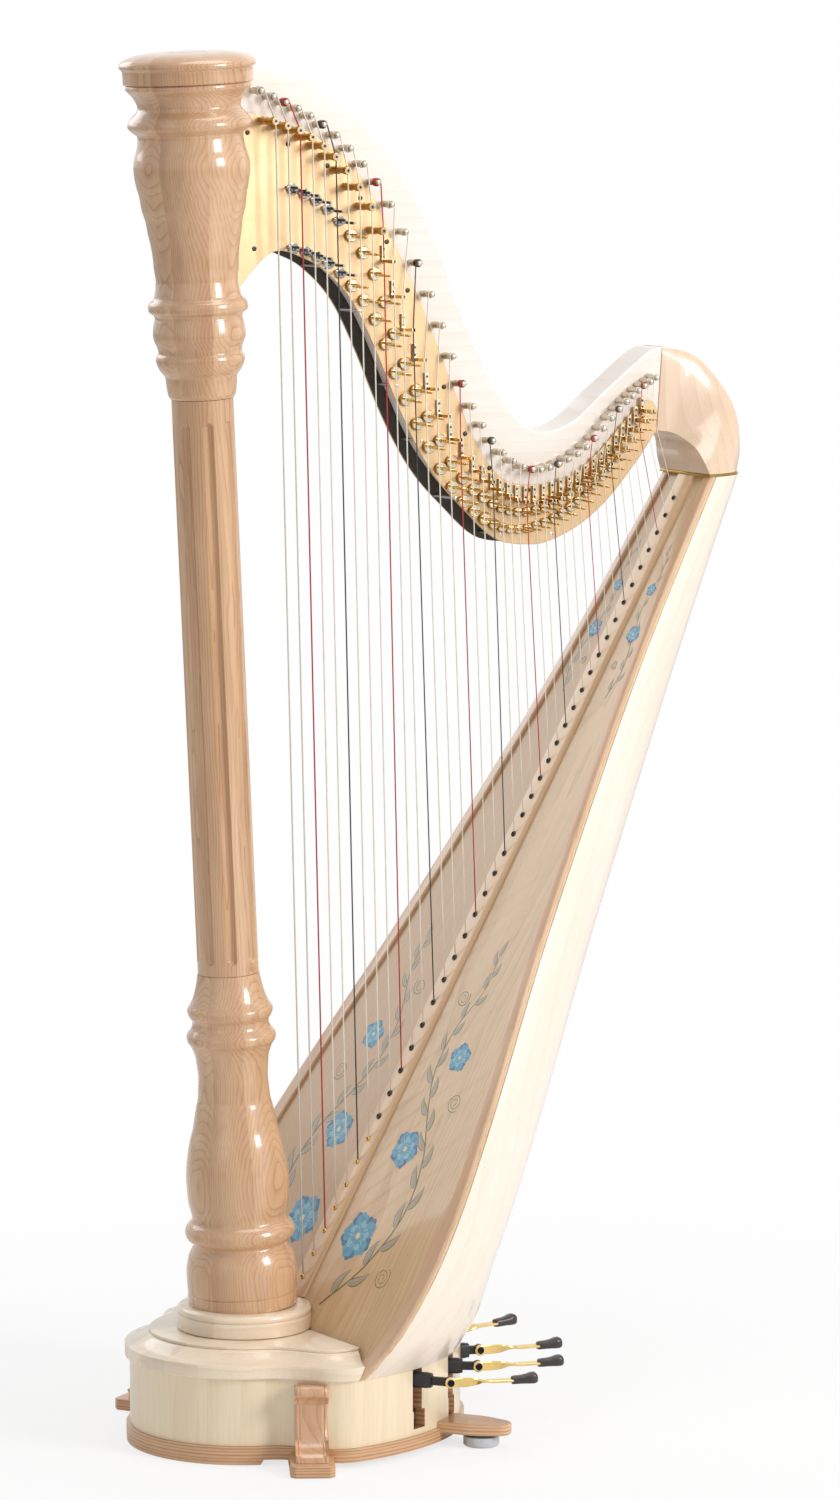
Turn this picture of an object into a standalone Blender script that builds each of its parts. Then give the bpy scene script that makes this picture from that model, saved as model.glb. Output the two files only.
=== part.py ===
"""Concert-style pedal harp with forty strings, at its real size in metres, +Z up.

The design frame has its X and Y zero on the column's foot and its Z zero on the floor.
+X runs from the column to the player, and the strings hang on the -Y side of the neck.
At the end the whole harp is moved along X, so that its origin is under its middle.
"""
import math

import bmesh
import bpy
from mathutils import Matrix, Vector
from mathutils.geometry import interpolate_bezier

MM = 0.001
SEAT = 0.3 * MM              # gap between two pieces that are glued or screwed together

# Base
RING_LOW = 6 * MM
RING_HIGH = 22 * MM
WALL_HIGH = 104.6 * MM
ARRIS_HIGH = 121 * MM
STEP_HIGH = 135 * MM
BASE_HIGH = 138.6 * MM
LOBE_RADIUS = 146 * MM       # round front of the base, about the column's foot
LOBE_END = math.radians(112)
CORNER_X = 36 * MM
CORNER_Y = 206 * MM
REAR_LENGTH = 253 * MM       # from the corner back to the rear of the half ellipse
RING_INSET = 1.5 * MM
WALL_INSET = 6 * MM
WALL_THICK = 12 * MM
FLAT_INSET = 31 * MM
FRONT_FOOT_X = -58 * MM
FRONT_FOOT_SINK = 3 * MM      # how far the front foot goes up into the plate
TOP_BEHIND_BOARD = 60 * MM    # the moulded top is cut from a solid that reaches this far back
TOE_HIGH = 14 * MM
TOE_LENGTH = 64 * MM
TOE_WIDTH = 54 * MM
TOE_INSIDE = 30 * MM          # part of the toe under the base
TOE_CUT = 6 * MM
BRACKET_WIDTH = 40 * MM
BRACKET_TURN = math.radians(-120)
LOBE_EDGE = LOBE_RADIUS * Vector((math.cos(LOBE_END), -math.sin(LOBE_END), 0))
CORNER = Vector((CORNER_X, -CORNER_Y, 0))
BRACKET_SPOT = (LOBE_EDGE + CORNER) / 2 + Vector((0.3 * MM, 2.7 * MM, 0))

# Rear feet
TONGUE_LOW = 16 * MM
TONGUE_HIGH = 30 * MM
TONGUE_ROOT_BACK = 75 * MM    # from the outline's length to the root of the foot
TONGUE_ROOT_IN = 76 * MM      # from the outline's corner to the root of the foot
TONGUE_TIP_BACK = 12 * MM
TONGUE_TIP_OUT = 18 * MM
TONGUE_START = Vector((REAR_LENGTH - TONGUE_ROOT_BACK, TONGUE_ROOT_IN - CORNER_Y, 0))
TONGUE_TIP = Vector((REAR_LENGTH - TONGUE_TIP_BACK, -TONGUE_TIP_OUT - CORNER_Y, 0))
TONGUE_WIDTH = 52 * MM
TONGUE_TIP_SHARE = 0.62       # half width where the rounding of the tip starts
PAD_RADIUS = 22 * MM
PAD_FROM_TIP = 38 * MM
PAD_CHAMFER = 2 * MM

# Column
LEAN = math.radians(2.71)
BORE_RADIUS = 26 * MM
SHAFT_RADIUS = 37 * MM
SHAFT_LOW = 440 * MM         # heights above the base, along the column
SHAFT_HIGH = 1137 * MM
FOOT_LOW = 29.5 * MM
COLUMN_STEPS = 20
FLUTE_COUNT = 8
FLUTE_RADIUS = 6.5 * MM
FLUTE_DEPTH = 5 * MM
FLUTE_MARGIN = 14 * MM
FLUTE_END_SHARE = 0.6         # of its radius that a flute loses in its rounded end
FLUTE_END_RISE = 0.8

# Strings and soundboard
STRING_COUNT = 40
GROMMET_X = 84 * MM
GROMMET_Z = 189.6 * MM
BOARD_SLOPE = math.radians(59.36)
WIDE_GAP = 31.3 * MM
NARROW_GAP = 24.7 * MM
WIDE_GAPS = 13
TAPER_GAPS = 10
BASS_RADIUS = 1.0 * MM
TREBLE_RADIUS = 0.4 * MM
RIB_HALF = 17.5 * MM
RIB_THICK = 5 * MM
RIB_CHAMFER = 3 * MM
RIB_BELOW = 70 * MM          # start of the rib below the first string
GROMMET_LOW = 4.6 * MM       # radius of the first grommet
GROMMET_TOP = 3.2 * MM
GROMMET_HIGH = 1.8 * MM
BOARD_THICK = 4 * MM
BOARD_BELOW = 125 * MM
OVERRUN = 20 * MM            # length that is cut away again level with the top of the box
TRIM_THICK = 4 * MM
TRIM_CHAMFER = 3 * MM
TRIM_TOP_WIDTH = 12 * MM
TRIM_LOW_WIDTH = 26 * MM
BODY_HIGH = 1149.5 * MM
SHELL_THICK = 5 * MM
SHELL_SIDES = 14
HOLE_LEVELS = (270, 430, 590, 750, 910)
HOLE_HALF_HIGH = 55 * MM
HOLE_SHARE = 0.3             # half width of a hole in the half width of the box
HOLE_REACH = 60 * MM
BAND_HIGH = 3.2 * MM
BAND_PROUD = 1.5 * MM

# Neck
NECK_NEAR = 26.8 * MM
NECK_WIDTH = 45.4 * MM
PLATE_THICK = 3 * MM
PLATE_NEAR = NECK_NEAR - SEAT - PLATE_THICK
PIN_RADIUS = 3.3 * MM
PIN_OUT = 24 * MM
HEAD_SIZE = 6 * MM
HEAD_OUT = 14 * MM
LAST_ON_RIGHT = 12           # strings up to this one pass their tuning pin on its right
BRIDGE_PINS = 10
BRIDGE_RADIUS = 4 * MM
BRIDGE_OUT = 33 * MM
NUT_HIGH = 4 * MM
NUT_OUT = 26 * MM
NUT_WALL = 1.8 * MM
STRING_CLEAR = 0.35 * MM
SCREW_RADIUS = 3 * MM
SCREW_PROUD = 2 * MM
POST_THICK = 4 * MM          # spacer posts between the two action plates

# Discs
FIRST_DISC = 3
FIRST_MOVING = 17
LAST_LARGE = 23              # the discs above this string are smaller and have fewer sides
NOTES = "cdefgab"
NATURAL_SHARE = 1 - 2 ** (-1 / 12)
SHARP_SHARE = 1 - 2 ** (-2 / 12)
DISC_RADIUS = 8 * MM
DISC_THICK = 4 * MM
DISC_OFF = 0.5 * MM
DISC_LIFT = 0.6              # share of its radius that a disc sits above its stopping point
SPINDLE_RADIUS = 2.5 * MM
SPINDLE_CLEAR = 0.4 * MM
PRONG_RADIUS = 1.5 * MM
PRONG_SHARE = 0.18           # of the disc's radius, where that is less
PRONG_EDGE = 0.3 * MM
PRONG_PAST = 4 * MM          # how far the prongs reach past the strings
PRONG_TURN = math.radians(72)
TREBLE_SPREAD = 1.5 * MM
SINK = 1 * MM                # depth that a fitting goes into what it stands on

# Pedals: straight levers that fan out from the column to the slots in the rear wall
LEVER_Z = 91 * MM
ROD_CIRCLE = 22 * MM         # rods and lever ends, about the column's axis
FULCRUM_CIRCLE = 52 * MM
LEVER_START = 18 * MM
LEVER_THICK = 5 * MM
LEVER_TIP_THICK = 4 * MM
LEVER_HIGH = 10 * MM
EYE_RADIUS = 7.5 * MM
AXLE_RADIUS = 3 * MM
AXLE_CLEAR = 0.4 * MM
POST_RADIUS = 2.5 * MM
FRAME_WIDTH = 12 * MM
FRAME_THICK = 6 * MM
FRAME_END = math.radians(9.5)
FRAME_PAST = 0.08            # radians of the rail past its outer posts
SLEEVE_THICK = 12 * MM
SLEEVE_HIGH = 19 * MM
SLEEVE_IN = 12 * MM
SLEEVE_SHARE = 0.45          # of the way from the wall to the fold
SLOT_CLEAR = 2.5 * MM
SLOT_TIGHT = 0.8 * MM
PEDAL_TRAVEL = 44.5 * MM     # at the slot
SLOT_BELOW = 7 * MM          # under the sleeve of a pedal that is all the way down
SLOT_LOW = LEVER_Z - SLEEVE_HIGH / 2 - PEDAL_TRAVEL - SLOT_BELOW
SLOT_FOOT_HIGH = 22 * MM     # lower part of the slot, which is shifted to one side
SLOT_STEP = SLOT_LOW + SLOT_FOOT_HIGH
SLOT_SHIFT = 6 * MM
KNUCKLE_HALF = 3 * MM
ARM_LENGTH = 108 * MM
CAP_START = 75 * MM
CAP_HALF_WIDE = 8 * MM
CAP_HALF_HIGH = 7.5 * MM
CAP_NECK_HALF = 5.5 * MM     # least half width of the cap towards the bar
CAP_LIFT = 1.5 * MM
ARM_WIDE = 12 * MM
ARM_THICK = 3 * MM
FOLD_RADIUS = 6.8 * MM
BOLT_RADIUS = 2.8 * MM
BOLT_CLEAR = 0.4 * MM
BOLT_HEAD = 1.5 * MM
ROD_RADIUS = 2 * MM
ROD_GAP = 0.8 * MM
ROD_HIGH = 1361 * MM
PEDALS = (  # name, place round the rear wall and direction of the arm in degrees, reach in mm
    ("d", -67, -21, 42), ("c", -46.5, -18, 33), ("b", -25, -13, 24), ("e", 3, 2, 22),
    ("f", 25, 13, 24), ("g", 46.5, 18, 33), ("a", 67, 21, 42),
)

# Radius and height above the base, from the top of each turned piece down its outer side
CAP_PROFILE = (
    (30, 1549), (52, 1547), (68, 1544), (78, 1540.5), (81, 1536), (81, 1531),
    (77.5, 1526), (77.5, 1512),
)
CAPITAL_PROFILE = (
    (74.5, 1511.5), (74, 1504), (68, 1497), (62.5, 1488), (61.5, 1483), (65, 1476), (74, 1466),
    (74, 1461), (69, 1455), (63, 1448), (65, 1433), (69, 1412), (67.5, 1392), (62, 1362),
    (53.5, 1321), (50, 1290), (49.2, 1277), (53, 1256), (59, 1248), (59, 1241), (52.5, 1234),
    (55.3, 1213), (50, 1193), (53, 1184), (52, 1177), (43, 1162), (40.5, 1142), (37.5, 1137.3),
)
FOOT_PROFILE = (
    (37.5, 439.7), (40, 425), (48, 403), (51.8, 395), (46.5, 381), (53, 365), (53.5, 358),
    (46, 343), (42.3, 313), (44.5, 284), (52, 247), (59.5, 218), (62.8, 188), (61, 157),
    (58.3, 140), (59, 134), (66, 128), (66.5, 118), (64, 112), (57, 106), (62, 97), (66.5, 84),
    (67.3, 70), (66.5, 40), (66.5, 24),
)
PLINTH_PROFILE = (
    (70, 29.1), (78, 28.6), (81.5, 26), (82, 21), (80, 18.5), (82, 16), (82, 3), (80, 0.3),
)

# Smooth lines in the plane of the strings, as (string number, x, z) in mm
NUT_LINE = (
    (1, 50, 1602), (4, 102, 1582), (7, 152, 1541), (10, 203, 1467), (13, 246, 1345),
    (17, 315, 1208), (20, 363, 1154), (24, 413, 1127), (28, 466, 1129), (32, 516, 1151),
    (36, 562, 1187), (40, 602, 1231),
)
TUNING_LINE = (
    (1, 34, 1638), (5, 104, 1607), (8, 160, 1567), (11, 219, 1498), (14, 277, 1387),
    (17, 323, 1276), (20, 367, 1204), (23, 413, 1170), (26, 452, 1167), (30, 507, 1190),
    (34, 557, 1235), (37, 586, 1257), (40, 613, 1272),
)
PLATE_UPPER = (
    (-40, 1612), (23, 1612), (122, 1582), (190, 1528), (236, 1446), (273, 1375), (319, 1273),
    (350, 1208), (381, 1165), (410, 1148), (453, 1145), (496, 1153), (539, 1183), (583, 1224),
    (612, 1242), (625, 1232), (625, 1204),
)
PLATE_LOWER = (
    (598, 1170), (554, 1124), (511, 1093), (467, 1075), (433, 1071), (382, 1081), (331, 1124),
    (297, 1158), (269, 1197), (241, 1248), (205, 1325), (174, 1380), (141, 1414), (108, 1434),
    (60, 1444), (12, 1402), (-20, 1360), (-40, 1340),
)
NECK_UPPER = (
    (-50, 1662), (34, 1665), (84, 1657), (124, 1642), (165, 1616), (220, 1564), (261, 1510),
    (298, 1446), (325, 1378), (349, 1330), (378, 1275), (412, 1231), (449, 1210), (498, 1220),
    (550, 1258), (614, 1303), (636, 1309),
)
NECK_LOWER = (
    (628, 1204), (598, 1192), (554, 1146), (511, 1115), (467, 1098), (433, 1094), (388, 1103),
    (345, 1134), (310, 1170), (282, 1208), (255, 1259), (220, 1334), (188, 1388), (152, 1424),
    (114, 1450), (60, 1464), (10, 1428), (-20, 1392), (-50, 1372),
)
# Screws in the left plate and posts between the plates, as (x, z) in mm
PLATE_SCREWS = (
    (25, 1588), (82, 1573), (138, 1546), (185, 1506), (223, 1452), (253, 1392), (34, 1449),
    (306, 1272), (337, 1213), (373, 1169), (431, 1139), (494, 1143), (552, 1181),
)
SPACERS = (
    (132, 1425), (185, 1369), (238, 1276), (274, 1207), (324, 1134), (390, 1086), (466, 1082),
)
# Soundboard: (distance along the board from the first string, half width) in mm
BOARD_EDGE = (
    (-130, 180), (-98, 202), (-47, 232), (33, 246), (132, 239), (273, 208), (456, 160),
    (633, 122), (859, 81), (1116, 53), (1150, 49),
)
# Soundbox: (height, depth behind the board) in mm
BODY_DEPTH = (
    (104.9, 243), (150, 232), (230, 203), (418, 175), (610, 150), (808, 123), (1150, 70),
)
SHELL_LEVELS = (104.9, 125, 150, 190, 240, 320, 430, 580, 760, 950, 1149.5)
# Shoulder sections: inner point x, z; outer point x, z; near y, far y; squareness 0 to 1
SHOULDER_SECTIONS = (
    (628.3, 1204, 636.3, 1309, 26.8, 72.2, 0.12),
    (646, 1201, 686, 1297, 20, 73, 0.3),
    (655, 1193, 719, 1265, 4, 71, 0.5),
    (655, 1182, 735, 1226, -22, 67, 0.7),
    (652, 1168, 732, 1183, -42, 60, 0.85),
    (652.5, 1153, 722, 1153, -54, 54, 1.0),
)
# Scroll bracket: distance out from the wall and height, in mm
BRACKET_PROFILE = (
    (-4, 99), (10, 101), (17, 100), (20.5, 95), (19.5, 89), (14, 84), (11.5, 76), (11, 62),
    (14, 47), (21, 35), (31, 27), (40, 25), (46, 21), (47, 14.3), (-4, 14.3),
)


def clear_scene():
    for old in list(bpy.data.objects):
        bpy.data.objects.remove(old)


def new_collection(name):
    collection = bpy.data.collections.new(name)
    bpy.context.scene.collection.children.link(collection)
    return collection


def make_material(name, colour, roughness, metallic=0.0):
    material = bpy.data.materials.new(name)
    material.use_nodes = True
    shader = material.node_tree.nodes["Principled BSDF"]
    shader.inputs["Base Color"].default_value = (*colour, 1)
    shader.inputs["Roughness"].default_value = roughness
    shader.inputs["Metallic"].default_value = metallic
    return material


clear_scene()
PARTS = new_collection("pedal_harp")
WORK = new_collection("cutters")

FINISHES = {
    "beech": ((0.72, 0.47, 0.30), 0.25, 0.0),
    "maple": ((0.86, 0.74, 0.57), 0.3, 0.0),
    "pale_maple": ((0.90, 0.81, 0.68), 0.25, 0.0),
    "plywood": ((0.78, 0.58, 0.40), 0.35, 0.0),
    "spruce": ((0.80, 0.65, 0.45), 0.35, 0.0),
    "plate_brass": ((0.80, 0.66, 0.36), 0.4, 0.9),
    "brass": ((0.85, 0.62, 0.25), 0.2, 1.0),
    "steel": ((0.6, 0.58, 0.55), 0.3, 1.0),
    "black_metal": ((0.03, 0.03, 0.03), 0.4, 0.5),
    "rubber": ((0.03, 0.025, 0.025), 0.5, 0.0),
    "pad": ((0.55, 0.57, 0.6), 0.5, 0.0),
    "string": ((0.85, 0.80, 0.70), 0.4, 0.0),
}


def make_empty(name, parent=None, location=(0, 0, 0), rotation=(0, 0, 0)):
    empty = bpy.data.objects.new(name, None)
    empty.location = location
    empty.rotation_euler = rotation
    empty.parent = parent
    WORK.objects.link(empty)
    return empty


HARP = make_empty("harp")
COLUMN = make_empty("column_axis", HARP, (0, 0, BASE_HIGH), (0, -LEAN, 0))
BOARD = make_empty("board_plane", HARP, (GROMMET_X, 0, GROMMET_Z), (0, -BOARD_SLOPE, 0))


def finish_part(body, name, finish, parent=HARP, location=(0, 0, 0), rotation=(0, 0, 0), smooth=30):
    """Turn a work object into a named part: material, place, parent and shading."""
    body.name = name
    body.data.name = name
    colour, roughness, metallic = FINISHES[finish]
    body.data.materials.clear()
    body.data.materials.append(make_material(name, colour, roughness, metallic))
    body.location = location
    body.rotation_euler = rotation
    body.parent = parent
    body.data.shade_smooth()
    body.data.set_sharp_from_angle(angle=math.radians(smooth))
    WORK.objects.unlink(body)
    PARTS.objects.link(body)
    return body


# Modelling helpers: each gives a work object with its mesh in design coordinates

def work_object(mesh_maker, name="work"):
    mesh = bpy.data.meshes.new(name)
    mesh_maker.normal_update()
    mesh_maker.to_mesh(mesh)
    mesh_maker.free()
    body = bpy.data.objects.new(name, mesh)
    WORK.objects.link(body)
    return body


def bake(body):
    """Replace an object's mesh, or a curve object, by its evaluated mesh."""
    graph = bpy.context.evaluated_depsgraph_get()
    graph.update()
    mesh = bpy.data.meshes.new_from_object(body.evaluated_get(graph))
    maker = bmesh.new()
    maker.from_mesh(mesh)
    bmesh.ops.remove_doubles(maker, verts=maker.verts, dist=1e-6)
    bmesh.ops.dissolve_degenerate(maker, edges=maker.edges, dist=1e-6)
    bmesh.ops.recalc_face_normals(maker, faces=maker.faces)
    maker.to_mesh(mesh)
    maker.free()
    if body.type == "MESH":
        body.modifiers.clear()
        body.data = mesh
        return body
    solid = bpy.data.objects.new(body.name, mesh)
    solid.matrix_world = body.matrix_world
    WORK.objects.link(solid)
    bpy.data.objects.remove(body)
    return solid


def move_mesh(body, matrix):
    body.data.transform(matrix)
    return body


def combine(body, tool, operation, crossing=False):
    """Join or cut a work object with a tool, which is then removed."""
    tool.display_type = "WIRE"
    tool.hide_render = True
    modifier = body.modifiers.new("combine", "BOOLEAN")
    modifier.operation = operation
    modifier.solver = "EXACT"
    modifier.use_self = crossing
    modifier.object = tool
    bake(body)
    bpy.data.objects.remove(tool)
    return body


def cylinder(radius, start, end, sides=12, end_radius=None, turn=0.0):
    """Round bar between two points."""
    start = Vector(start)
    end = Vector(end)
    span = end - start
    maker = bmesh.new()
    bmesh.ops.create_cone(
        maker, cap_ends=True, segments=sides, radius1=radius,
        radius2=radius if end_radius is None else end_radius, depth=span.length,
        matrix=Matrix.Translation((start + end) / 2)
        @ span.to_track_quat("Z", "Y").to_matrix().to_4x4()
        @ Matrix.Rotation(turn, 4, "Z"),
    )
    return work_object(maker)


def box(centre, size, turn=0.0):
    """Box about a centre, turned about the vertical."""
    maker = bmesh.new()
    bmesh.ops.create_cube(
        maker, size=1,
        matrix=Matrix.Translation(centre) @ Matrix.Rotation(turn, 4, "Z")
        @ Matrix.Diagonal((*size, 1)),
    )
    return work_object(maker)


def flat_solid(outline, low, high, holes=()):
    """Solid between two heights over a flat outline, made as a filled 2D curve."""
    curve = bpy.data.curves.new("outline", "CURVE")
    curve.dimensions = "2D"
    curve.fill_mode = "BOTH"
    curve.extrude = (high - low) / 2
    for loop in (outline, *holes):
        spline = curve.splines.new("POLY")
        spline.points.add(len(loop) - 1)
        spline.use_cyclic_u = True
        for point, (x, y) in zip(spline.points, loop):
            point.co = (x, y, 0, 1)
    body = bpy.data.objects.new("outline", curve)
    WORK.objects.link(body)
    body = bake(body)
    return move_mesh(body, Matrix.Translation((0, 0, (low + high) / 2)))


def upright_solid(outline, near, far):
    """Solid between two Y values over an outline of (x, z) points."""
    body = flat_solid(outline, -far, -near)
    return move_mesh(body, Matrix.Rotation(math.pi / 2, 4, "X"))


def turned_solid(profile, bore=None, steps=COLUMN_STEPS):
    """Turn (radius, height) points about Z, with a bore or closed on the axis."""
    maker = bmesh.new()
    line = [maker.verts.new((r, 0, z)) for r, z in profile]
    if bore is None:
        line.insert(0, maker.verts.new((0, 0, profile[0][1])))
        line.append(maker.verts.new((0, 0, profile[-1][1])))
    else:
        line.insert(0, maker.verts.new((bore, 0, profile[0][1])))
        line.append(maker.verts.new((bore, 0, profile[-1][1])))
        maker.edges.new((line[-1], line[0]))
    for first, second in zip(line, line[1:]):
        maker.edges.new((first, second))
    body = work_object(maker)
    screw = body.modifiers.new("turn", "SCREW")
    screw.steps = steps
    screw.render_steps = steps
    screw.use_merge_vertices = True
    screw.merge_threshold = 0.00001
    screw.use_normal_calculate = True
    return bake(body)


def loft(rings):
    """Closed solid through rings of equally many points."""
    maker = bmesh.new()
    rows = [[maker.verts.new(point) for point in ring] for ring in rings]
    count = len(rows[0])
    for low, high in zip(rows, rows[1:]):
        for k in range(count):
            after = (k + 1) % count
            maker.faces.new((low[k], low[after], high[after], high[k]))
    maker.faces.new(rows[0][::-1])
    maker.faces.new(rows[-1])
    bmesh.ops.recalc_face_normals(maker, faces=maker.faces)
    return work_object(maker)


def slice_off(body, point, normal):
    """Cut away what lies beyond a plane and close the cut."""
    maker = bmesh.new()
    maker.from_mesh(body.data)
    geometry = maker.verts[:] + maker.edges[:] + maker.faces[:]
    bmesh.ops.bisect_plane(
        maker, geom=geometry, dist=1e-7, plane_co=point, plane_no=normal, clear_outer=True)
    rim = [edge for edge in maker.edges if edge.is_boundary]
    bmesh.ops.holes_fill(maker, edges=rim, sides=0)
    bmesh.ops.recalc_face_normals(maker, faces=maker.faces)
    maker.to_mesh(body.data)
    maker.free()
    return body


def tube(points, radius, resolution=0):
    """Wire along a list of points, as a bevelled POLY curve with closed ends."""
    curve = bpy.data.curves.new("wire", "CURVE")
    curve.dimensions = "3D"
    curve.bevel_depth = radius
    curve.bevel_resolution = resolution
    curve.use_fill_caps = True
    spline = curve.splines.new("POLY")
    spline.points.add(len(points) - 1)
    for point, place in zip(spline.points, points):
        point.co = (*place, 1)
    body = bpy.data.objects.new("wire", curve)
    WORK.objects.link(body)
    return bake(body)


def gather(bodies):
    """Collect work objects in one mesh, each still its own shell."""
    maker = bmesh.new()
    for body in bodies:
        maker.from_mesh(body.data)
        bpy.data.objects.remove(body)
    return work_object(maker)


def mirrored(body):
    """Copy of a work object on the other side of the plane of the strings."""
    maker = bmesh.new()
    maker.from_mesh(body.data)
    bmesh.ops.transform(maker, matrix=Matrix.Scale(-1, 4, (0, 1, 0)), verts=maker.verts)
    bmesh.ops.reverse_faces(maker, faces=maker.faces)
    return work_object(maker)


# Lines and laws

def curve_value(rows, key):
    """Smooth value at key from rows that start with their own key, in mm, as metres."""
    k = 0
    while k < len(rows) - 2 and key > rows[k + 1][0]:
        k += 1
    before = rows[max(k - 1, 0)]
    low = rows[k]
    high = rows[k + 1]
    after = rows[min(k + 2, len(rows) - 1)]
    span = high[0] - low[0]
    t = (key - low[0]) / span
    values = []
    for column in range(1, len(low)):
        slope_low = (high[column] - before[column]) / (high[0] - before[0]) * span
        slope_high = (after[column] - low[column]) / (after[0] - low[0]) * span
        value = (
            (2 * t ** 3 - 3 * t ** 2 + 1) * low[column] + (t ** 3 - 2 * t ** 2 + t) * slope_low
            + (3 * t ** 2 - 2 * t ** 3) * high[column] + (t ** 3 - t ** 2) * slope_high)
        values.append(value * MM)
    return values


def smooth_line(points, steps=2):
    """Points in metres on a smooth line through points in mm."""
    rows = [(k, *point) for k, point in enumerate(points)]
    count = (len(points) - 1) * steps
    return [tuple(curve_value(rows, k / steps)) for k in range(count + 1)]


def string_station(number):
    """Distance along the board from the first string to this one."""
    distance = 0.0
    for k in range(1, number):
        taper = min(max(k - WIDE_GAPS, 0), TAPER_GAPS + 1) / (TAPER_GAPS + 1)
        distance += WIDE_GAP + (NARROW_GAP - WIDE_GAP) * taper
    return distance


def board_point(along, out=0.0):
    """Place on the middle line of the board, at a distance out from the rib's face."""
    c = math.cos(BOARD_SLOPE)
    s = math.sin(BOARD_SLOPE)
    return Vector((GROMMET_X + along * c - out * s, 0, GROMMET_Z + along * s + out * c))


def board_x(z, out=0.0):
    """X of the plane at a distance out from the rib's face, at a height."""
    return (GROMMET_X + (z - GROMMET_Z) / math.tan(BOARD_SLOPE)
            - out / math.sin(BOARD_SLOPE))


def board_half(along):
    return curve_value(BOARD_EDGE, along / MM)[0]


def string_radius(number):
    share = (number - 1) / (STRING_COUNT - 1)
    return BASS_RADIUS + (TREBLE_RADIUS - BASS_RADIUS) * share


def nut_point(number):
    """Where a string bears on its bridge pin or nut."""
    x, z = curve_value(NUT_LINE, number)
    return Vector((x, 0, z))


def tuning_point(number):
    x, z = curve_value(TUNING_LINE, number)
    return Vector((x, NECK_NEAR, z))


def string_end(number):
    """Where a string meets its tuning pin, beside the pin."""
    pin = tuning_point(number)
    end = Vector((pin.x, NECK_NEAR - PIN_OUT + 4 * MM, pin.z))
    away = (end - nut_point(number)).normalized()
    side = Vector((away.z, 0, -away.x))
    if number > LAST_ON_RIGHT:
        side = -side
    return end + side * (PIN_RADIUS + string_radius(number) + SEAT)


def disc_points(number):
    """Middles of the natural and the sharp disc of a string, and the radius of both."""
    top = nut_point(number)
    foot = board_point(string_station(number))
    length = (top - foot).length
    down = (foot - top) / length
    first = min(number, STRING_COUNT - 1)
    spacing = (nut_point(first + 1) - nut_point(first)).length
    apart = (SHARP_SHARE - NATURAL_SHARE) * length
    radius = min(DISC_RADIUS, (apart + 2 * TREBLE_SPREAD) / 2 - 0.7 * MM, spacing / 2 - 0.5 * MM)
    lift = radius * DISC_LIFT
    spread = TREBLE_SPREAD if radius < DISC_RADIUS else 0.0
    natural = top + down * (NATURAL_SHARE * length - lift) - down * spread
    sharp = top + down * (SHARP_SHARE * length - lift) + down * spread
    return natural, sharp, radius, down


# Base

def base_half_outline(inset, rear):
    """Half outline of the base from the front middle to the rear, on the -Y side."""
    radius = LOBE_RADIUS - inset
    corner_y = CORNER_Y - inset
    arc_steps = 10
    points = []
    for k in range(arc_steps + 1):
        angle = math.pi + (math.pi - LOBE_END) * k / arc_steps
        points.append((radius * math.cos(angle), radius * math.sin(angle)))
    end_x, end_y = points.pop()
    tangent = Vector((math.sin(LOBE_END), math.cos(LOBE_END)))
    start = Vector((end_x, end_y))
    corner = Vector((CORNER_X, -corner_y))
    reach = (corner - start).length * 0.42
    cove = interpolate_bezier(
        start, start + tangent * reach, corner - Vector((reach, -0.1 * reach)), corner, 7)
    points += [(p.x, p.y) for p in cove]
    if rear is None:
        length = REAR_LENGTH - inset
        rear_steps = 12
        for k in range(1, rear_steps + 1):
            angle = math.pi / 2 * k / rear_steps
            points.append((CORNER_X + length * math.sin(angle), -corner_y * math.cos(angle)))
    else:
        points.append((rear, -corner_y))
        points.append((rear, 0))
    return points


def base_outline(inset, rear=None):
    half = base_half_outline(inset, rear)
    return half + [(x, -y) for x, y in half[-2:0:-1]]


def base_envelope():
    """Cutter for what is fitted against the outside of the base."""
    ring = flat_solid(base_outline(RING_INSET - SEAT), RING_LOW - 1 * MM, RING_HIGH + SEAT)
    wall = flat_solid(base_outline(WALL_INSET - SEAT), RING_LOW + 1 * MM, BASE_HIGH)
    return combine(ring, wall, "UNION")


def bracket_matrix():
    """Local X points out from the wall, local Z up."""
    return Matrix.Translation(BRACKET_SPOT) @ Matrix.Rotation(BRACKET_TURN, 4, "Z")


def build_base_plate():
    body = flat_solid(base_outline(RING_INSET), RING_LOW, RING_HIGH)
    foot = flat_solid(base_outline(RING_INSET + 0.5 * MM), 0, RING_LOW + FRONT_FOOT_SINK)
    slice_off(foot, (FRONT_FOOT_X, 0, 0), (1, 0, -0.6))
    combine(body, foot, "UNION")
    half = TOE_WIDTH / 2
    cut = TOE_CUT
    outline = ((-TOE_INSIDE, -half), (TOE_LENGTH - cut, -half), (TOE_LENGTH, -half + cut),
               (TOE_LENGTH, half - cut), (TOE_LENGTH - cut, half), (-TOE_INSIDE, half))
    toe = move_mesh(flat_solid(outline, 0, TOE_HIGH), bracket_matrix())
    other = mirrored(toe)
    combine(body, toe, "UNION")
    combine(body, other, "UNION")
    finish_part(body, "base_plate", "plywood")


def wall_point(place):
    """Point on the outside of the rear wall at an angle round the half ellipse."""
    angle = math.radians(place)
    length = REAR_LENGTH - WALL_INSET
    width = CORNER_Y - WALL_INSET
    return Vector((CORNER_X + length * math.cos(angle), width * math.sin(angle), LEVER_Z))


def lever_way(index):
    """Direction of a lever in plan, from the column's axis to its slot."""
    place = wall_point(PEDALS[index][1])
    return Vector((place.x, place.y, 0)).normalized()


def outer_side(index):
    """1 for the pedals on the -Y side of the base, -1 for the others."""
    return 1 if PEDALS[index][1] < 0 else -1


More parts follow.
